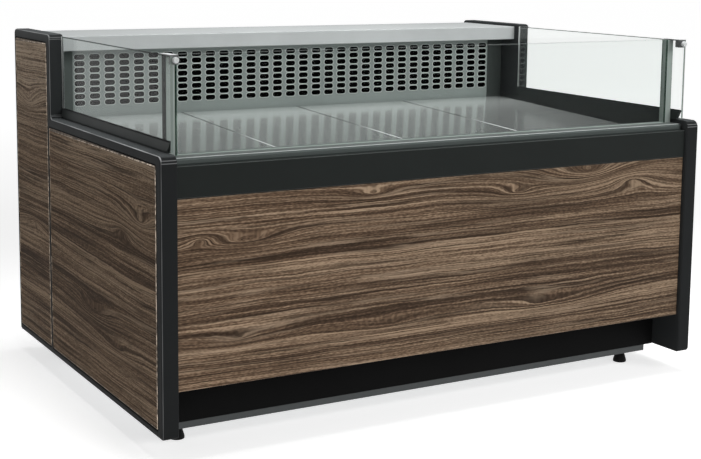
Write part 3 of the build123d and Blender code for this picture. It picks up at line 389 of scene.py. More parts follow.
def laminate(name, along, figures, steps, seed, rim, gain, drop=0.0, shade=1.0, specular=0.10):
    """Walnut decor along one axis: bent grain with streaks, rings, veins, pores and a paler rim.

    rim is the largest share of the rim's tan, partly a painted highlight; gain is a direction
    ("run" along the grain or "rise" across it), a start, an end and the colour's gain there,
    which is painted light; drop lowers the figure.
    """
    s = Shader(name)
    run, rise = s.at(along), s.plus(s.at("Z"), drop)
    flat = s.add("CombineXYZ", {0: run, 1: rise, 2: seed})
    level, near = grain_level(s, flat, rise, figures)
    grain = s.add("CombineXYZ", {0: run, 1: level, 2: seed})
    tone = grain_tone(s, flat, grain, level, near, steps)
    wood = s.ramp(tone, *[(stop, tint(colour, shade)) for stop, colour in WOOD_TONES])
    for run_scale, rise_scale, width, shift, share, colour in VEINS:
        off = stretched(s, grain, run_scale, rise_scale, rough=0.5, shift=shift)
        line = s.spread(s.size(s.minus(off, 0.5)), width, 0.0)
        parts = s.spread(stretched(s, grain, 3.0, 26.0, shift=shift + 3.0), 0.42, 0.58)
        wood = s.mix(s.times(s.times(line, parts), share), wood, tint(colour, shade))
    pores = s.spread(stretched(s, grain, 30.0, 520.0, detail=1.0, rough=0.5), 0.60, 0.72)
    wood = s.mix(s.times(pores, 0.6), wood, PORE_BROWN)
    # Lighter along the grain or towards the top: painted light
    direction, start, end, factor = gain
    share = s.spread(run if direction == "run" else rise, start, end)
    wood = s.mix(share, wood, s.mix(1.0, wood, factor, "MULTIPLY"))
    # Edges that look to the front or up turn tan: a paler edge with a painted highlight
    band = s.times(s.edges(), s.spread(s.front_or_top(), 0.3, 0.65, 0.1, rim))
    band = s.times(band, s.spread(s.noise(s.point(), 130.0), 0.35, 0.6, 0.45, 1.0))
    fibres = stretched(s, grain, 14.0, 900.0)
    s.set(
        Base_Color=s.mix(band, wood, RIM_TAN_AND_HIGHLIGHT),
        Roughness=s.vary(fibres, 0.52, 0.64),
        Normal=s.bump(s.minus(s.times(fibres, 0.5), pores), strength=0.15, distance=0.0003),
        Specular_IOR_Level=specular,
    )
    return s.material


def banding(name):
    """Lacquered edge band: painted highlight in pale metallic flecks where it looks up or to the
    front.
    """
    s = Shader(name)
    fleck = s.spread(s.noise(s.point(), 90.0, detail=3.0), 0.42, 0.60, 0.25, 1.0)
    fibre = s.noise(s.point((300.0, 40.0, 40.0)), detail=3.0)
    # Pale and metallic only where it looks up or to the front: painted highlight
    pale = s.times(s.spread(s.front_or_top(), 0.15, 0.30), fleck)
    s.set(
        Base_Color=s.mix(pale, (0.045, 0.032, 0.024), (0.74, 0.62, 0.50)),
        Roughness=s.vary(fibre, 0.42, 0.55),
        Normal=s.bump(fibre, strength=0.1, distance=0.0002),
        Metallic=s.times(pale, 0.65),
        Specular_IOR_Level=0.05,
    )
    return s.material


# Metal. Scales of the noise for scratches along each axis
ALONG_X, ALONG_Y, ALONG_Z = (2.0, 900.0, 900.0), (900.0, 2.0, 900.0), (900.0, 900.0, 2.0)


def brushed(name, colour, rough, along=ALONG_X, depth=0.12, metal=1.0, painted_light_fade=None):
    """Brushed metal: long fine scratches, slow changes of gloss, faint stains.

    metal is the metal share or a call that makes it, and the last argument is where along Y
    the colour starts and ends to change, and its gain there: painted light and shade.
    """
    s = Shader(name)
    fine = s.noise(s.point(along), detail=3.0, rough=0.6)
    slow = s.noise(s.point(), 3.0, detail=3.0, rough=0.6)
    marks = s.noise(s.point(), 26.0, detail=4.0, rough=0.65)
    body = s.mix(s.vary(slow), tint(colour, 0.95), tint(colour, 1.03))
    body = s.mix(s.vary(fine, 0.0, 0.10), body, tint(colour, 0.6))
    # Colour changes along Y: painted light and shade
    if painted_light_fade:
        start, end, gain = painted_light_fade
        body = s.mix(s.spread(s.at("Y"), start, end), body, tint(colour, gain))
    stains = s.spread(marks, 0.45, 0.75, 0.0, 0.04)
    s.set(
        Base_Color=body,
        Roughness=s.plus(s.vary(slow, rough - 0.02, rough + 0.02), stains),
        Normal=s.bump(fine, strength=depth, distance=0.0002),
        Metallic=metal(s) if callable(metal) else metal,
    )
    return s.material


def drawn(name, colour, other, other_share, line=None, along=ALONG_X, specular=0.3):
    """Drawn section with fine lines along it; some faces have another shade, one line is a painted
    highlight.
    """
    s = Shader(name)
    fine = s.noise(s.point(along), detail=3.0, rough=0.6)
    soil = s.noise(s.point(), 18.0, detail=4.0, rough=0.6)
    body = s.mix(other_share(s), colour, other)
    # The bright stripe is a painted highlight
    if line:
        body = s.mix(s.stripe(*line), body, (0.62, 0.66, 0.65))
    scored = s.ramp(fine, (0.30, (0.82, 0.82, 0.82)), (0.70, (1.0, 1.0, 1.0)))
    body = s.mix(1.0, body, scored, "MULTIPLY")
    s.set(
        Base_Color=s.mix(s.spread(soil, 0.5, 0.8, 0.0, 0.12), body, (0.05, 0.05, 0.05)),
        Roughness=s.vary(soil, 0.36, 0.46),
        Normal=s.bump(fine, strength=0.06, distance=0.0002),
        Specular_IOR_Level=specular,
    )
    return s.material


def upward(s):
    """One on the faces that look up."""
    return s.spread(s.facing("Z"), 0.80, 0.92)


def endward(s):
    """One on the faces that look away from the middle of the case, a little on those facing it."""
    return s.most(
        s.spread(s.outward(), 0.80, 0.92), s.spread(s.outward(), -0.80, -0.92, 0.0, 0.12)
    )


def frontward(s):
    """One on the faces that look to the front."""
    return s.spread(s.facing("Y"), -0.6, -0.8)


def deck_metal_share(s):
    """Metal share of the deck: less at the rear, so more plain colour shows there as painted light.
    """
    return s.spread(s.at("Y"), 0.02, 0.30, 0.74, 0.58)


def zinc(name, colour):
    """Galvanised sheet with its crystal spangle."""
    s = Shader(name)
    cells = s.add("TexVoronoi", {"Vector": s.point(), "Scale": 70.0}, out="Color", feature="F1")
    shade = s.add("SeparateXYZ", {0: cells}, out="X")
    s.set(
        Base_Color=s.mix(shade, tint(colour, 0.78), tint(colour, 1.12)),
        Roughness=s.spread(shade, 0.0, 1.0, 0.34, 0.52),
        Normal=s.bump(s.noise(s.point(), 240.0), strength=0.05, distance=0.0003),
        Metallic=1.0,
    )
    return s.material


def finned(name, colour, pitch):
    """Coil aluminium: close fins drawn as fine dark lines across the blocks, painted shade of their
    gaps.
    """
    s = Shader(name)
    comb = s.math("SINE", s.times(s.at("X"), 2 * pi / pitch))
    soil = s.spread(s.noise(s.point(), 24.0, detail=4.0, rough=0.65), 0.45, 0.75)
    # Dark lines between the fins: painted shade
    body = s.mix(s.spread(comb, 0.1, 0.8), colour, tint(colour, 0.18))
    s.set(
        Base_Color=s.mix(s.times(soil, 0.35), body, (0.10, 0.095, 0.085)),
        Roughness=s.spread(soil, 0.0, 1.0, 0.32, 0.6),
        Normal=s.bump(comb, strength=0.4, distance=0.0006),
        Metallic=0.9,
    )
    return s.material


def copper(name):
    """Drawn copper with darker stains."""
    s = Shader(name)
    stain = s.noise(s.point(), 38.0, detail=5.0, rough=0.65)
    dark, plain, pale = (0.22, 0.075, 0.035), (0.58, 0.25, 0.13), (0.72, 0.38, 0.22)
    s.set(
        Base_Color=s.ramp(stain, (0.30, dark), (0.5, plain), (0.72, pale)),
        Roughness=s.vary(stain, 0.42, 0.22),
        Normal=s.bump(s.noise(s.point(), 300.0), strength=0.06, distance=0.0003),
        Metallic=1.0,
    )
    return s.material


# Glass
def glazing(name, tone, edge_tone, index, flat_axis, borders, border_share, matt, within=None):
    """Clear pane: green edges, dark ground borders, faint smears, and lamplight let through.

    Each border is a stripe, kept to the stripe within where there is one. matt is the axis and
    direction of the one edge that is ground matt, and its tone.
    """
    s = Shader(name)
    edge = s.spread(s.size(s.facing(flat_axis)), 0.9, 0.5)
    axis, direction, matt_tone = matt
    matt_face = s.spread(s.times(s.facing(axis), direction), 0.5, 0.8)
    ground = edge
    for border in borders:
        mark = s.times(s.stripe(*border), border_share)
        if within:
            mark = s.times(mark, s.stripe(*within))
        ground = s.most(ground, mark)
    smear = s.noise(s.point((3.0, 3.0, 9.0)), detail=4.0, rough=0.6)
    smear = s.spread(smear, 0.5, 0.8, 0.0, 0.012)
    # The plain value stays under the link, for a reader that takes no links
    s.set(Transmission_Weight=1.0)
    s.set(
        Base_Color=s.mix(ground, tone, s.mix(matt_face, edge_tone, matt_tone)),
        Roughness=s.plus(smear, s.times(edge, 0.18)),
        Transmission_Weight=s.spread(matt_face, 0.0, 1.0, 1.0, 0.35),
        IOR=index,
    )
    path = s.light_path()
    lamplight = s.most(path["Is Shadow Ray"], path["Is Diffuse Ray"])
    clear = s.add("BsdfTransparent", {"Color": tone})
    passing = s.add("MixShader", {0: lamplight, 1: s.bsdf.outputs[0], 2: clear})
    s.put(s.output.inputs["Surface"], passing)
    return s.material


ledge_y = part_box("front_glass_profile")[0][1] + 0.005
pane_top_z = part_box("left_side_glass")[1][2]
pane_end, pane_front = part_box("front_glass")[1][0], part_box("front_glass")[0][1]
# Stripe of the profile's painted highlight along its ledge
ledge_highlight = ("Y", ledge_y - 0.0006, ledge_y + 0.0026)
side_borders = (("Z", pane_top_z - 0.0022, pane_top_z + 0.001),)
side_edge, side_matt = (0.025, 0.060, 0.042), ("Y", -1.0, (0.36, 0.42, 0.39))
end_borders = (
    ("X", -pane_end - 0.001, -pane_end + 0.0050),
    ("X", pane_end - 0.0020, pane_end + 0.001),
)
front_pane_only = ("Y", pane_front - 0.001, pane_front + 0.006)

# Finishes of the frame's material slots
finishes = {
    # The third colour of each satin skin is its painted highlight
    "black_shell": satin(
        "satin_black_moulding", (0.0206, 0.0220, 0.0226), (0.72, 0.73, 0.74), rough=0.42,
        top=3.5, inner=2.0, shell=True,
    ),
    # Side wood lighter towards the top, front wood lighter towards the left: painted light
    "side_laminate": laminate(
        "side_walnut", "Y", SIDE_FIGURES, SIDE_STEPS, seed=3.7, rim=1.0,
        gain=("rise", 0.64, 0.88, (1.50, 1.62, 1.78)), drop=0.045, shade=1.02, specular=0.02,
    ),
    "front_laminate": laminate(
        "front_walnut", "X", FRONT_FIGURES, FRONT_STEPS, seed=8.2, rim=0.25,
        gain=("run", 0.25, -0.60, (1.20, 1.18, 1.17)),
    ),
    "black_paint": satin("satin_black_paint", (0.0185, 0.0213, 0.0202), (0.11, 0.12, 0.118)),
    "base_paint": coated("grey_base_paint", (0.060, 0.066, 0.067), rough=0.46),
    # Profile lighter on faces that look up, with a bright stripe on its ledge: painted light and a
    # painted highlight
    "grey_profile": drawn(
        "grey_glazing_profile", (0.064, 0.078, 0.074), (0.12, 0.133, 0.128), upward, ledge_highlight
    ),
    "clear_glass": glazing(
        "side_pane", (0.915, 0.932, 0.925), side_edge, index=1.075, flat_axis="X",
        borders=side_borders, border_share=0.75, matt=side_matt,
    ),
    "spacer_bar": drawn(
        "glazing_end_bar", (0.35, 0.40, 0.375), (0.022, 0.026, 0.024), endward,
        along=ALONG_Z, specular=0.03,
    ),
    "clamp_silver": coated(
        "clamp_silver_paint", (0.62, 0.64, 0.64), rough=0.34, depth=0.04, edge=1.2
    ),
    "tank_shell": coated("grey_tank_skin", (0.22, 0.23, 0.23), rough=0.5),
    # The outlet's slot walls and the shelf's top and ends take a darker colour: painted shade
    "outlet_paint": coated(
        "outlet_grey_paint", (0.292, 0.329, 0.317), rough=0.38, peel=460.0, depth=0.06, edge=1.6,
        painted_side_shade=(0.012, 0.013, 0.013),
    ),
    "shelf_paint": coated(
        "shelf_light_grey", (0.54, 0.565, 0.565), rough=0.46, peel=460.0, depth=0.05, edge=1.10,
        specular=0.16, painted_side_shade=(0.45, 0.47, 0.47),
    ),
    # Deck lighter at the rear than at the front: painted light
    "stainless": brushed(
        "deck_stainless", (0.88, 0.915, 0.90), rough=0.14, depth=0.06, metal=deck_metal_share,
        painted_light_fade=(0.31, -0.30, 0.60),
    ),
    "galvanised": zinc("galvanised_sheet", (0.52, 0.54, 0.55)),
    "coil_aluminium": finned("coil_fins", (0.60, 0.61, 0.62), pitch=0.0025),
    "fan_plastic": coated("fan_black", (0.016, 0.016, 0.017), rough=0.5),
    "motor_black": coated(
        "motor_enamel", (0.012, 0.012, 0.013), rough=0.25, peel=200.0, depth=0.05
    ),
    "copper_pipe": copper("drawn_copper"),
    "foot_plastic": coated("foot_black", (0.009, 0.009, 0.009), rough=0.55, specular=0.1),
    "rear_paint": coated("rear_grey_paint", (0.27, 0.285, 0.285)),
    "screw_steel": brushed(
        "zinc_screw", (0.55, 0.56, 0.57), rough=0.3, along=(300.0, 300.0, 300.0)
    ),
    "control_plastic": coated("control_black", (0.014, 0.014, 0.015), rough=0.42, peel=700.0),
    "key_plastic": coated("key_grey", (0.19, 0.20, 0.21), rough=0.5, peel=700.0),
    "switch_red": coated(
        "rocker_red", (0.38, 0.018, 0.014), rough=0.18, peel=300.0, depth=0.02, edge=1.4
    ),
}
# A lighter copy of the black paint, darker on faces that look inward: painted light and shade
holder_finish = satin(
    "satin_holder", (0.0500, 0.0560, 0.0550), (0.13, 0.14, 0.138), top=1.2, inner=0.8
)
# Lighter than the black paint to make up for the shade inside the well: painted light
liner_finish = coated("liner_black_painted_light", (0.038, 0.042, 0.041), rough=0.5, specular=0.1)
# Clamps grey, near white on faces that look up: painted highlight
clamp_finish = drawn(
    "clamp_grey_painted_highlight", (0.13, 0.135, 0.135), (0.90, 0.92, 0.92), upward, along=(400.0, 2.0, 400.0)
)
# Nodes whose finish differs from that of their slot
special = {
    "front_glass": glazing(
        "front_pane", (0.965, 0.975, 0.970), (0.006, 0.060, 0.028), index=1.045, flat_axis="Y",
        borders=end_borders, border_share=0.95, matt=("Z", 1.0, (0.30, 0.33, 0.32)),
        within=front_pane_only,
    ),
    "right_side_glass": glazing(
        "right_pane", (0.965, 0.985, 0.975), side_edge, index=1.45, flat_axis="X",
        borders=side_borders, border_share=0.75, matt=side_matt,
    ),
    "left_glass_holder": holder_finish,
    "right_glass_holder": holder_finish,
    "left_liner": liner_finish,
    "right_liner": liner_finish,
    "left_glass_clamp": clamp_finish,
    "right_glass_clamp": clamp_finish,
    # Near black and dull, so the slots in front of it look dark: painted shade
    "tank_rear_wall": coated("rear_wall_painted_shade", (0.003, 0.003, 0.003), rough=0.7, specular=0.02),
    # Darker than the black paint, as it stands in shade under the decor: painted shade
    "kick_plate": coated("kick_black_painted_shade", (0.0062, 0.0063, 0.0063), rough=0.6, specular=0.04),
}
for part in frame["record"]["subparts"]:
    finish = special.get(part["node"], finishes[part["material_slot"]])
    for holder in nodes[part["node"]].material_slots:
        holder.material = finish


# Meshes of the fine pieces that the frame leaves out
def piece(name, mesh, finish, body="case"):
    """Puts a finished mesh into the scene, on its body, with its finish."""
    bmesh.ops.recalc_face_normals(mesh, faces=mesh.faces)
    data = bpy.data.meshes.new(name)
    mesh.to_mesh(data)
    mesh.free()
    data.materials.append(finish)
    made = bpy.data.objects.new(name, data)
    scene.collection.objects.link(made)
    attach(made, body)


def joined(mesh, rows, smooth=False):
    """Faces between closed rows of vertices."""
    for one, other in zip(rows, rows[1:]):
        for index in range(len(one)):
            after = (index + 1) % len(one)
            face = mesh.faces.new((one[index], one[after], other[after], other[index]))
            face.smooth = smooth


def skin(mesh, profiles, closed=True, smooth=True):
    """Faces between open profiles that follow each other along a path; returns their vertices."""
    rows = [[mesh.verts.new(corner) for corner in profile] for profile in profiles]
    for one, other in zip(rows, rows[1:] + rows[:1] if closed else rows[1:]):
        for index in range(len(one) - 1):
            face = mesh.faces.new((one[index], one[index + 1], other[index + 1], other[index]))
            face.smooth = smooth
    return rows


def bead(mesh, start, end, radius):
    """A rounded strand from one place to another, with closed ends."""
    sides, nose_share, tip_share = 10, 0.6, 0.4
    start, end = Vector(start), Vector(end)
    along = (end - start).normalized()
    across = along.cross(Vector((0.0, 0.0, 1.0))).normalized()
    over = across.cross(along)
    turns = [2 * pi * index / sides for index in range(sides)]
    nose, tip = along * radius * nose_share, tip_share * radius
    path = ((start, tip), (start + nose, radius), (end - nose, radius), (end, tip))
    rows = [
        [mesh.verts.new(place + size * (cos(turn) * across + sin(turn) * over)) for turn in turns]
        for place, size in path
    ]
    joined(mesh, rows, smooth=True)
    mesh.faces.new(rows[0])
    mesh.faces.new(rows[-1])


def plate(mesh, outline, back, front, bevel):
    """A thin plate that faces along Y, from its outline in X and Z, with a bevelled front edge."""
    middle = [sum(corner[axis] for corner in outline) / len(outline) for axis in (0, 1)]

    def row(y, inset):
        made = []
        for x, z in outline:
            off = Vector((middle[0] - x, middle[1] - z))
            off = off.normalized() * min(inset, off.length / 2)
            made.append(mesh.verts.new((x + off.x, y, z + off.y)))
        return made

    step = bevel if front > back else -bevel
    rows = [row(back, 0.0), row(front - step, 0.0), row(front, bevel)]
    joined(mesh, rows)
    mesh.faces.new(rows[-1])


def arc(centre, radius, start, end, steps):
    """Places along an arc in X and Z."""
    turns = [start + (end - start) * index / steps for index in range(steps + 1)]
    return [(centre[0] + radius * cos(turn), centre[1] + radius * sin(turn)) for turn in turns]


def middle_of(low, high):
    """Middle of a box in X and Z."""
    return (low[0] + high[0]) / 2, (low[2] + high[2]) / 2


# Slots of the air outlet, and the pressed rim of one as steps out of the slot and to the rear
SLOT_LONG, SLOT_TALL, SLOT_PITCH_X, SLOT_PITCH_Z = 0.0306, 0.0146, 0.0434, 0.0182
SLOT_COLUMNS, SLOT_ROWS, SLOT_MIDDLE_Z = 32, 8, 0.8015
SLOT_END, SLOT_HALF_FLAT = SLOT_TALL / 2, (SLOT_LONG - SLOT_TALL) / 2
RIM_PROFILE = ((0.0003, 0.0004), (0.0004, -0.0006), (0.0010, -0.0009), (0.0019, 0.0003))
# Greys of the painted shade beside the slots, darker on the right
PAINTED_SHADE_GREYS = {"left": (0.110, 0.127, 0.121), "right": (0.054, 0.062, 0.059)}


def slot_rims():
    """Pressed rims round the slots of the air outlet, painted pale as their highlight."""
    face_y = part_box("air_outlet_panel")[0][1]
    steps = 9
    path = [(SLOT_HALF_FLAT, pi * (index / steps - 0.5)) for index in range(steps + 1)]
    path += [(-SLOT_HALF_FLAT, pi * (index / steps + 0.5)) for index in range(steps + 1)]
    rims = bmesh.new()
    for column in range(SLOT_COLUMNS):
        for row in range(SLOT_ROWS):
            slot_x = (column - (SLOT_COLUMNS - 1) / 2) * SLOT_PITCH_X
            slot_z = SLOT_MIDDLE_Z + (row - (SLOT_ROWS - 1) / 2) * SLOT_PITCH_Z
            skin(rims, [
                [
                    (
                        slot_x + shift + (SLOT_END + out) * cos(turn),
                        face_y + deep,
                        slot_z + (SLOT_END + out) * sin(turn),
                    )
                    for out, deep in RIM_PROFILE
                ]
                for shift, turn in path
            ])
    # Rims far paler than the outlet's paint: painted highlight
    paint = coated(
        "outlet_rim_painted_highlight", (0.76, 0.80, 0.78), rough=0.36, peel=460.0, depth=0.04, edge=1.1
    )
    piece("outlet_slot_rims", rims, paint)


def corner_shade_plates():
    """Dark plates in the corners beside the slots: painted shade at the outlet's ends, darker on
    the right.
    """
    below_deck, past_slots = 0.002, 0.005
    low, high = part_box("air_outlet_panel")
    bottom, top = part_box("deck_tray_1")[1][2] - below_deck, high[2]
    slots_end = (SLOT_COLUMNS - 1) / 2 * SLOT_PITCH_X + SLOT_LONG / 2 + past_slots
    for side, inner, outer in (("left", -slots_end, low[0]), ("right", slots_end, high[0])):
        shade_plate = bmesh.new()
        outline = [(inner, bottom), (outer, bottom), (outer, top), (inner, top)]
        plate(shade_plate, outline, back=low[1] + 0.0002, front=low[1] - 0.0012, bevel=0.0005)
        paint = coated(
            side + "_painted_shade_grey", PAINTED_SHADE_GREYS[side], rough=0.5, depth=0.06, edge=1.5, specular=0.1
        )
        piece(side + "_corner_painted_shade", shade_plate, paint)


def tray_hems():
    """Hemmed edge along the right side of each tray but the last."""
    radius, inset, end_gap, sunk, edge_width = 0.0015, 0.0016, 0.002, 0.0005, 0.0015
    # Hems much darker towards the rear: painted shade
    steel = brushed(
        "hem_stainless", (0.78, 0.80, 0.80), rough=0.30, along=ALONG_Y, depth=0.05, metal=0.35,
        painted_light_fade=(-0.17, -0.03, 0.12),
    )
    for number in range(1, 4):
        edge_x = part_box("deck_tray_%d" % number)[1][0]
        spots = [spot.co for spot in nodes["deck_tray_%d" % number].data.vertices]
        spots = [spot for spot in spots if spot.x > edge_x - edge_width]
        rear = max(spots, key=lambda spot: spot.y + 4 * spot.z)
        front = max(spots, key=lambda spot: spot.z - spot.y)
        hem = bmesh.new()
        bead(
            hem,
            (edge_x - inset, front.y + end_gap, front.z - sunk),
            (edge_x - inset, rear.y - end_gap, rear.z - sunk),
            radius,
        )
        piece("tray_%d_hem" % number, hem, steel, "tray_%d" % number)


def glass_gaskets():
    """Rubber beads along both faces of each side pane where it leaves its holder."""
    radius, off_glass, raised, front_gap, rear_gap = 0.0011, 0.0008, 0.0002, 0.002, 0.001
    dark_bead = coated(
        "glazing_rubber", (0.010, 0.010, 0.011), rough=0.6, peel=300.0, edge=1.4, specular=0.1
    )
    for side in SIDES:
        glass_low, glass_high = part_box(side + "_side_glass")
        low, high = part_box(side + "_glass_holder")
        front, rear, height = low[1] + front_gap, high[1] - rear_gap, high[2] + raised
        gasket = bmesh.new()
        for face in (glass_low[0] - off_glass, glass_high[0] + off_glass):
            bead(gasket, (face, front, height), (face, rear, height), radius)
        piece(side + "_glass_gasket", gasket, dark_bead)


def edge_strips():
    """Pale strip on the rear edge of each side pane."""
    lip, wide, bevel, sunk, proud = 0.0006, 0.0038, 0.0005, 0.0001, 0.0004
    plastic = drawn(
        "edge_strip", (0.60, 0.63, 0.62), (0.10, 0.105, 0.103), frontward, along=ALONG_Z
    )
    for side in SIDES:
        low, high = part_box(side + "_side_glass")
        bottom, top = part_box(side + "_glass_holder")[1][2], high[2] + proud
        middle, half = (low[0] + high[0]) / 2, (high[0] - low[0]) / 2 + lip
        profile = (
            (-half, 0.0), (-half, bevel - wide), (bevel - half, -wide),
            (half - bevel, -wide), (half, bevel - wide), (half, 0.0),
        )
        strip = bmesh.new()
        ends = skin(strip, [
            [(middle + across, high[1] - sunk + deep, height) for across, deep in profile]
            for height in (bottom, top)
        ], closed=False)
        for end in ends:
            strip.faces.new(end)
        piece(side + "_edge_strip", strip, plastic)


# Profiles round the laminate inserts: out from the insert's edge, and up from the panel's face
# Profile of the dark strip that paints the shadow of the gap round each insert
SHADOW_STRIP_PROFILE = (
    (-0.0002, -0.0012), (0.0001, 0.0001), (0.0004, 0.0003), (0.0017, 0.0003), (0.0020, -0.0004)
)
BAND_PROFILE = ((-0.0038, -0.0001), (-0.0034, 0.0007), (-0.0002, -0.0005))


def grown(outline, out):
    """The outline of a convex shape moved outwards, corner by corner."""
    moved = []
    for index, corner in enumerate(outline):
        before, after = outline[index - 1], outline[(index + 1) % len(outline)]
        here = Vector(corner)
        one = (here - Vector(before)).normalized()
        other = (Vector(after) - here).normalized()
        one_out, other_out = Vector((one.y, -one.x)), Vector((other.y, -other.x))
        away = (one_out + other_out).normalized()
        moved.append(here + away * out / max(0.5, away.dot(one_out)))
    return moved


def insert_borders():
    """Dark strip round each laminate insert, the painted shadow of its gap, and the edge band of
    its laminate.
    """
    # Near-black strip where the gap round the insert lies in shade: painted shadow
    dark_bead = coated(
        "insert_painted_shadow", (0.0035, 0.0035, 0.0035), rough=0.7, peel=300.0, depth=0.05, edge=1.0,
        specular=0.02,
    )
    wood = banding("laminate_edge_band")
    borders = (
        ("insert_painted_shadow", SHADOW_STRIP_PROFILE, dark_bead, "black_shell", True),
        ("edge_band", BAND_PROFILE, wood, "side_laminate", False),
    )
    for side, sign in zip(SIDES, (-1.0, 1.0)):
        low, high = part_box("%s_side_panel" % side)
        face_x = low[0] if side == "left" else high[0]
        for part in ("front", "rear"):
            insert = nodes["%s_%s_insert" % (side, part)]
            spots = [(spot.co.y, spot.co.z) for spot in insert.data.vertices]
            outline = [spots[index] for index in convex_hull_2d(spots)]
            for kind, profile, finish, slot, smooth in borders:
                rings = [grown(outline, out) for out, _ in profile]
                border = bmesh.new()
                skin(border, [
                    [
                        (face_x + sign * rise, corner.x, corner.y)
                        for corner, (_, rise) in zip(corners, profile)
                    ]
                    for corners in zip(*rings)
                ], smooth=smooth)
                piece("%s_%s_%s" % (side, part, kind), border, finish)


def knob_grips():
    """Grip ring, face ring and cap of each clamp knob."""
    count, ribs, flatter = 144, 18, 0.8
    around = [2 * pi * index / count for index in range(count)]
    bends = [pi * index / 6 for index in range(7)]
    # Depth behind the knob's face, height over its rim, and height of the ribs
    levels = (
        (0.0014, 0.0, 0.0), (0.0022, 0.0002, 0.0003), (0.0078, 0.0002, 0.0003), (0.0086, 0.0, 0.0)
    )
    metal = coated(
        "knob_satin", (0.82, 0.84, 0.84), rough=0.30, peel=300.0, depth=0.03, edge=1.3,
        specular=0.5,
    )
    for side in SIDES:
        low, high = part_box(side + "_clamp_knob")
        centre, radius = middle_of(low, high), (high[0] - low[0]) / 2

        def spot(reach, y, turn):
            return centre[0] + reach * cos(turn), y, centre[1] + reach * sin(turn)

        grip = bmesh.new()
        skin(grip, [
            [
                spot(radius + base + ripple * cos(ribs * turn), low[1] + deep, turn)
                for deep, base, ripple in levels
            ]
            for turn in around
        ])
        for middle, thick in ((0.70 * radius, 0.0006), (0.30 * radius, 0.0005)):
            skin(grip, [
                [
                    spot(middle + thick * cos(bend), low[1] - thick * sin(bend) * flatter, turn)
                    for bend in bends
                ]
                for turn in around[::3]
            ])
        piece(side + "_knob_grip", grip, metal, "knob_" + side)


# Controller: half width, half height and corner of the display, and sizes of its digits' bars
LENS_X, LENS_Z, LENS_CORNER, LENS_SHIFT = 0.0157, 0.0087, 0.0012, 0.016
BAR_LONG, BAR_THIN, DIGIT_PITCH = 0.0038, 0.0009, 0.0088
FLAT_BARS = ((0.0, 0.0048), (0.0, 0.0), (0.0, -0.0048))
UPRIGHT_BARS = ((-0.0024, 0.0024), (0.0024, 0.0024), (-0.0024, -0.0024), (0.0024, -0.0024))


def display():
    """Display window with unlit digits."""
    low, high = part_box("controller")
    face_y = high[1]
    middle_x, middle_z = middle_of(low, high)
    middle_x += LENS_SHIFT
    glass = coated(
        "display_window", (0.010, 0.004, 0.004), rough=0.08, peel=60.0, depth=0.01, edge=1.0,
        specular=0.5,
    )
    outline = []
    for sign_x, sign_z, start in ((1, -1, -0.5), (1, 1, 0.0), (-1, 1, 0.5), (-1, -1, 1.0)):
        corner_x = middle_x + sign_x * (LENS_X - LENS_CORNER)
        corner_z = middle_z + sign_z * (LENS_Z - LENS_CORNER)
        outline += arc((corner_x, corner_z), LENS_CORNER, pi * start, pi * (start + 0.5), steps=4)
    lens = bmesh.new()
    plate(lens, outline, back=face_y - 0.0012, front=face_y - 0.0004, bevel=0.0002)
    piece("display_lens", lens, glass)

    unlit = coated(
        "display_segment", (0.075, 0.016, 0.014), rough=0.3, peel=200.0, depth=0.01, edge=1.0,
        specular=0.3,
    )
    long, thin = BAR_LONG / 2, BAR_THIN / 2
    flat = (
        (long, 0), (long - thin, thin), (thin - long, thin),
        (-long, 0), (thin - long, -thin), (long - thin, -thin),
    )
    upright = [(b, a) for a, b in flat]
    bars = [(bar, flat) for bar in FLAT_BARS] + [(bar, upright) for bar in UPRIGHT_BARS]
    digits = bmesh.new()
    for digit in (-1, 0, 1):
        for (shift_x, shift_z), shape in bars:
            bar_x, bar_z = middle_x + digit * DIGIT_PITCH + shift_x, middle_z + shift_z
            outline = [(bar_x + a, bar_z + b) for a, b in shape]
            plate(digits, outline, back=face_y - 0.0005, front=face_y - 0.00032, bevel=0.00005)
    piece("display_digits", digits, unlit)


def key_marks():
    """A dot or an arrow on each key, as an arc's size, start and number of corners."""
    marks = {"set": (0.0015, 0.0, 16), "down": (0.0022, -pi / 2, 3), "up": (0.0022, pi / 2, 3)}
    paint = coated(
        "key_mark_white", (0.62, 0.63, 0.62), rough=0.5, peel=500.0, depth=0.02, edge=1.0,
        specular=0.3,
    )
    for key, (size, start, count) in marks.items():
        low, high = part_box("controller_key_" + key)
        end = start + 2 * pi * (count - 1) / count
        outline = arc(middle_of(low, high), size, start, end, count - 1)
        mark = bmesh.new()
        plate(mark, outline, back=high[1] - 0.0002, front=high[1] + 0.0002, bevel=0.0001)
        piece("key_mark_" + key, mark, paint, "key_" + key)


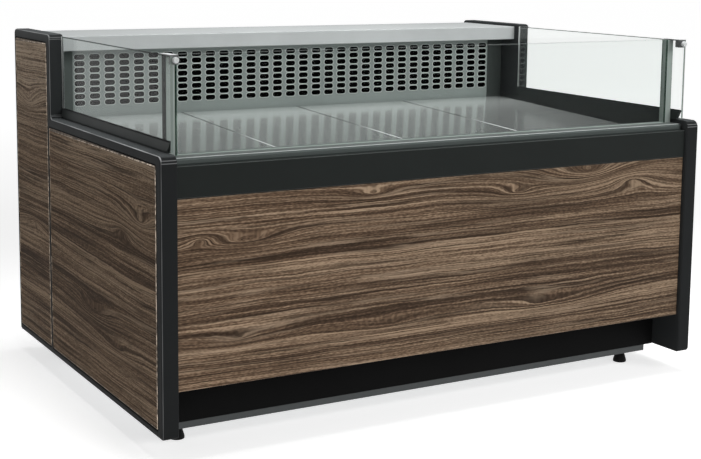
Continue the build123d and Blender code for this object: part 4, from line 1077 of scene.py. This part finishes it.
def screw_recesses():
    """Cross recesses in the heads of the panel screws, each turned its own way, as painted shade.
    """
    long, thin, head_size, flat_depth = 0.0021, 0.0005, 0.012, 0.0001
    cross = (
        (long, thin), (thin, thin), (thin, long), (-thin, long), (-thin, thin), (-long, thin),
        (-long, -thin), (-thin, -thin), (-thin, -long), (thin, -long), (thin, -thin), (long, -thin),
    )
    face_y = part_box("panel_screws")[1][1]
    heads = []
    for spot in nodes["panel_screws"].data.vertices:
        if spot.co.y > face_y - flat_depth:
            place = Vector((spot.co.x, spot.co.z))
            near = [head for head in heads if (head[0] - place).length < head_size]
            if near:
                near[0].append(place)
            else:
                heads.append([place])
    crosses = bmesh.new()
    for head in heads:
        x_values, z_values = [place.x for place in head], [place.y for place in head]
        x, z = (min(x_values) + max(x_values)) / 2, (min(z_values) + max(z_values)) / 2
        tilt = 7.0 * x + 11.0 * z
        outline = [
            (x + a * cos(tilt) - b * sin(tilt), z + a * sin(tilt) + b * cos(tilt))
            for a, b in cross
        ]
        plate(crosses, outline, back=face_y - 0.0002, front=face_y + 0.00006, bevel=0.00003)
    # Near-black cross on the head: the recess's painted shade
    dark = coated(
        "screw_recess", (0.010, 0.010, 0.010), rough=0.6, peel=300.0, depth=0.05, edge=1.0,
        specular=0.1,
    )
    piece("screw_recesses", crosses, dark)


def profile_end_caps():
    """Moulded end caps of the glazing profile."""
    inner_x, outer_x, deep, chamfer = 0.7425, 0.7485, 0.0400, 0.0048
    over_front, over_top, off_bottom = 0.0004, 0.0005, 0.0026
    low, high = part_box("front_glass_profile")
    front, rear = low[1] - over_front, low[1] + deep
    bottom, top = low[2] + off_bottom, high[2] + over_top
    outline = (
        (front, bottom), (front, high[2] - chamfer), (low[1] + chamfer, top), (rear, top),
        (rear, bottom),
    )
    caps = bmesh.new()
    for sign in (-1, 1):
        rows = [
            [caps.verts.new((sign * x, y, z)) for y, z in outline] for x in (inner_x, outer_x)
        ]
        joined(caps, rows)
        caps.faces.new(rows[0])
        caps.faces.new(rows[1])
    plastic = coated(
        "profile_cap", (0.020, 0.021, 0.021), rough=0.5, peel=500.0, depth=0.06, edge=1.8,
        specular=0.2,
    )
    piece("profile_end_caps", caps, plastic)


slot_rims()
corner_shade_plates()
tray_hems()
glass_gaskets()
edge_strips()
insert_borders()
knob_grips()
display()
key_marks()
screw_recesses()
profile_end_caps()


# Stage, light and camera
def studio_floor():
    """Pale floor, white to the eye far from the case, that keeps the shadow of the case."""
    s = Shader("studio_floor")
    away = s.add("VectorMath", {0: s.places.outputs["Object"]}, out="Value", operation="LENGTH")
    glow = s.spread(away, 1.6, 6.0, 0.62, 0.80)
    s.set(
        Base_Color=s.mix(s.noise(s.point(), 0.6), (0.74, 0.74, 0.74), (0.76, 0.76, 0.76)),
        Emission_Strength=s.times(s.seen(s.light_path()), glow),
        Emission_Color=(1.0, 1.0, 1.0),
        Roughness=0.9,
        Specular_IOR_Level=0.0,
    )
    mesh = bmesh.new()
    bmesh.ops.create_circle(mesh, cap_ends=True, radius=70.0, segments=96)
    data = bpy.data.meshes.new("studio_floor")
    mesh.to_mesh(data)
    mesh.free()
    data.materials.append(s.material)
    floor = bpy.data.objects.new("studio_floor", data)
    scene.collection.objects.link(floor)


def studio_world():
    """White to the eye and in the glass, dimmer as light.

    Reflections darken towards the right rear and towards the front.
    """
    right_rear, front, light_level = (0.62, 0.76, 0.20), (0.0, -0.94, 0.34), 0.26
    world = bpy.data.worlds.new("studio_white")
    world.use_nodes = True
    sky = Graph(world.node_tree)
    path = sky.light_path()

    def toward(direction):
        vectors = {0: sky.places.outputs["Generated"], 1: direction}
        return sky.add("VectorMath", vectors, out="Value", operation="DOT_PRODUCT")

    dark = sky.spread(toward(right_rear), 0.55, 0.93, 0.0, 0.85)
    dark = sky.most(dark, sky.spread(toward(front), 0.25, 0.85, 0.0, 0.55))
    mirrored = sky.math("GREATER_THAN", path["Glossy Depth"], 0.5)
    bright = sky.minus(1.0, sky.times(dark, mirrored))
    backdrop = world.node_tree.nodes["Background"]
    sky.put(backdrop.inputs["Color"], (1.0, 1.0, 1.0))
    sky.put(backdrop.inputs["Strength"], sky.spread(sky.seen(path), 0.0, 1.0, light_level, bright))
    scene.world = world


def lamp(name, place, target, size, power, spread=180.0):
    """A soft box that metal and glass don't show: they show the plain studio."""
    data = bpy.data.lights.new(name, "AREA")
    data.shape = "RECTANGLE"
    data.size, data.size_y = size
    data.energy = power
    data.spread = radians(spread)
    made = bpy.data.objects.new(name, data)
    made.location = place
    made.rotation_euler = (Vector(target) - Vector(place)).to_track_quat("-Z", "Y").to_euler()
    made.visible_glossy = False
    made.visible_transmission = False
    scene.collection.objects.link(made)


# Camera fitted to straight edges in the photograph
YAW, PITCH, ROLL = radians(29.561), radians(7.871), radians(0.541)
CAMERA_PLACE = (-1.9390, -3.3803, 1.1586)
SENSOR_WIDTH, FOCAL_LENGTH = 36.0, 71.880
SHIFT_X, SHIFT_Y, CLIP_END = 0.0108, -0.12, 200.0


def photo_camera():
    """Camera at the photograph's viewing angle."""
    ahead = Vector((sin(YAW) * cos(PITCH), cos(YAW) * cos(PITCH), -sin(PITCH)))
    level_right = Vector((cos(YAW), -sin(YAW), 0.0))
    level_up = level_right.cross(ahead)
    right = cos(ROLL) * level_right + sin(ROLL) * level_up
    up = -sin(ROLL) * level_right + cos(ROLL) * level_up
    data = bpy.data.cameras.new("photo_camera")
    data.sensor_width = SENSOR_WIDTH
    data.lens = FOCAL_LENGTH
    data.shift_x, data.shift_y = SHIFT_X, SHIFT_Y
    data.clip_end = CLIP_END
    camera = bpy.data.objects.new("photo_camera", data)
    turn = Matrix((right, up, -ahead)).transposed()
    camera.matrix_world = Matrix.Translation(CAMERA_PLACE) @ turn.to_4x4()
    scene.collection.objects.link(camera)
    scene.camera = camera


studio_floor()
studio_world()
lamp("key_softbox", (1.4, -4.4, 2.8), (0.0, 0.0, 0.5), size=(3.2, 2.2), power=122.0)
lamp("top_softbox", (0.1, 0.0, 3.2), (0.1, 0.0, 0.6), size=(2.2, 1.5), power=17.0, spread=70.0)
photo_camera()
scene.view_settings.view_transform = "Standard"
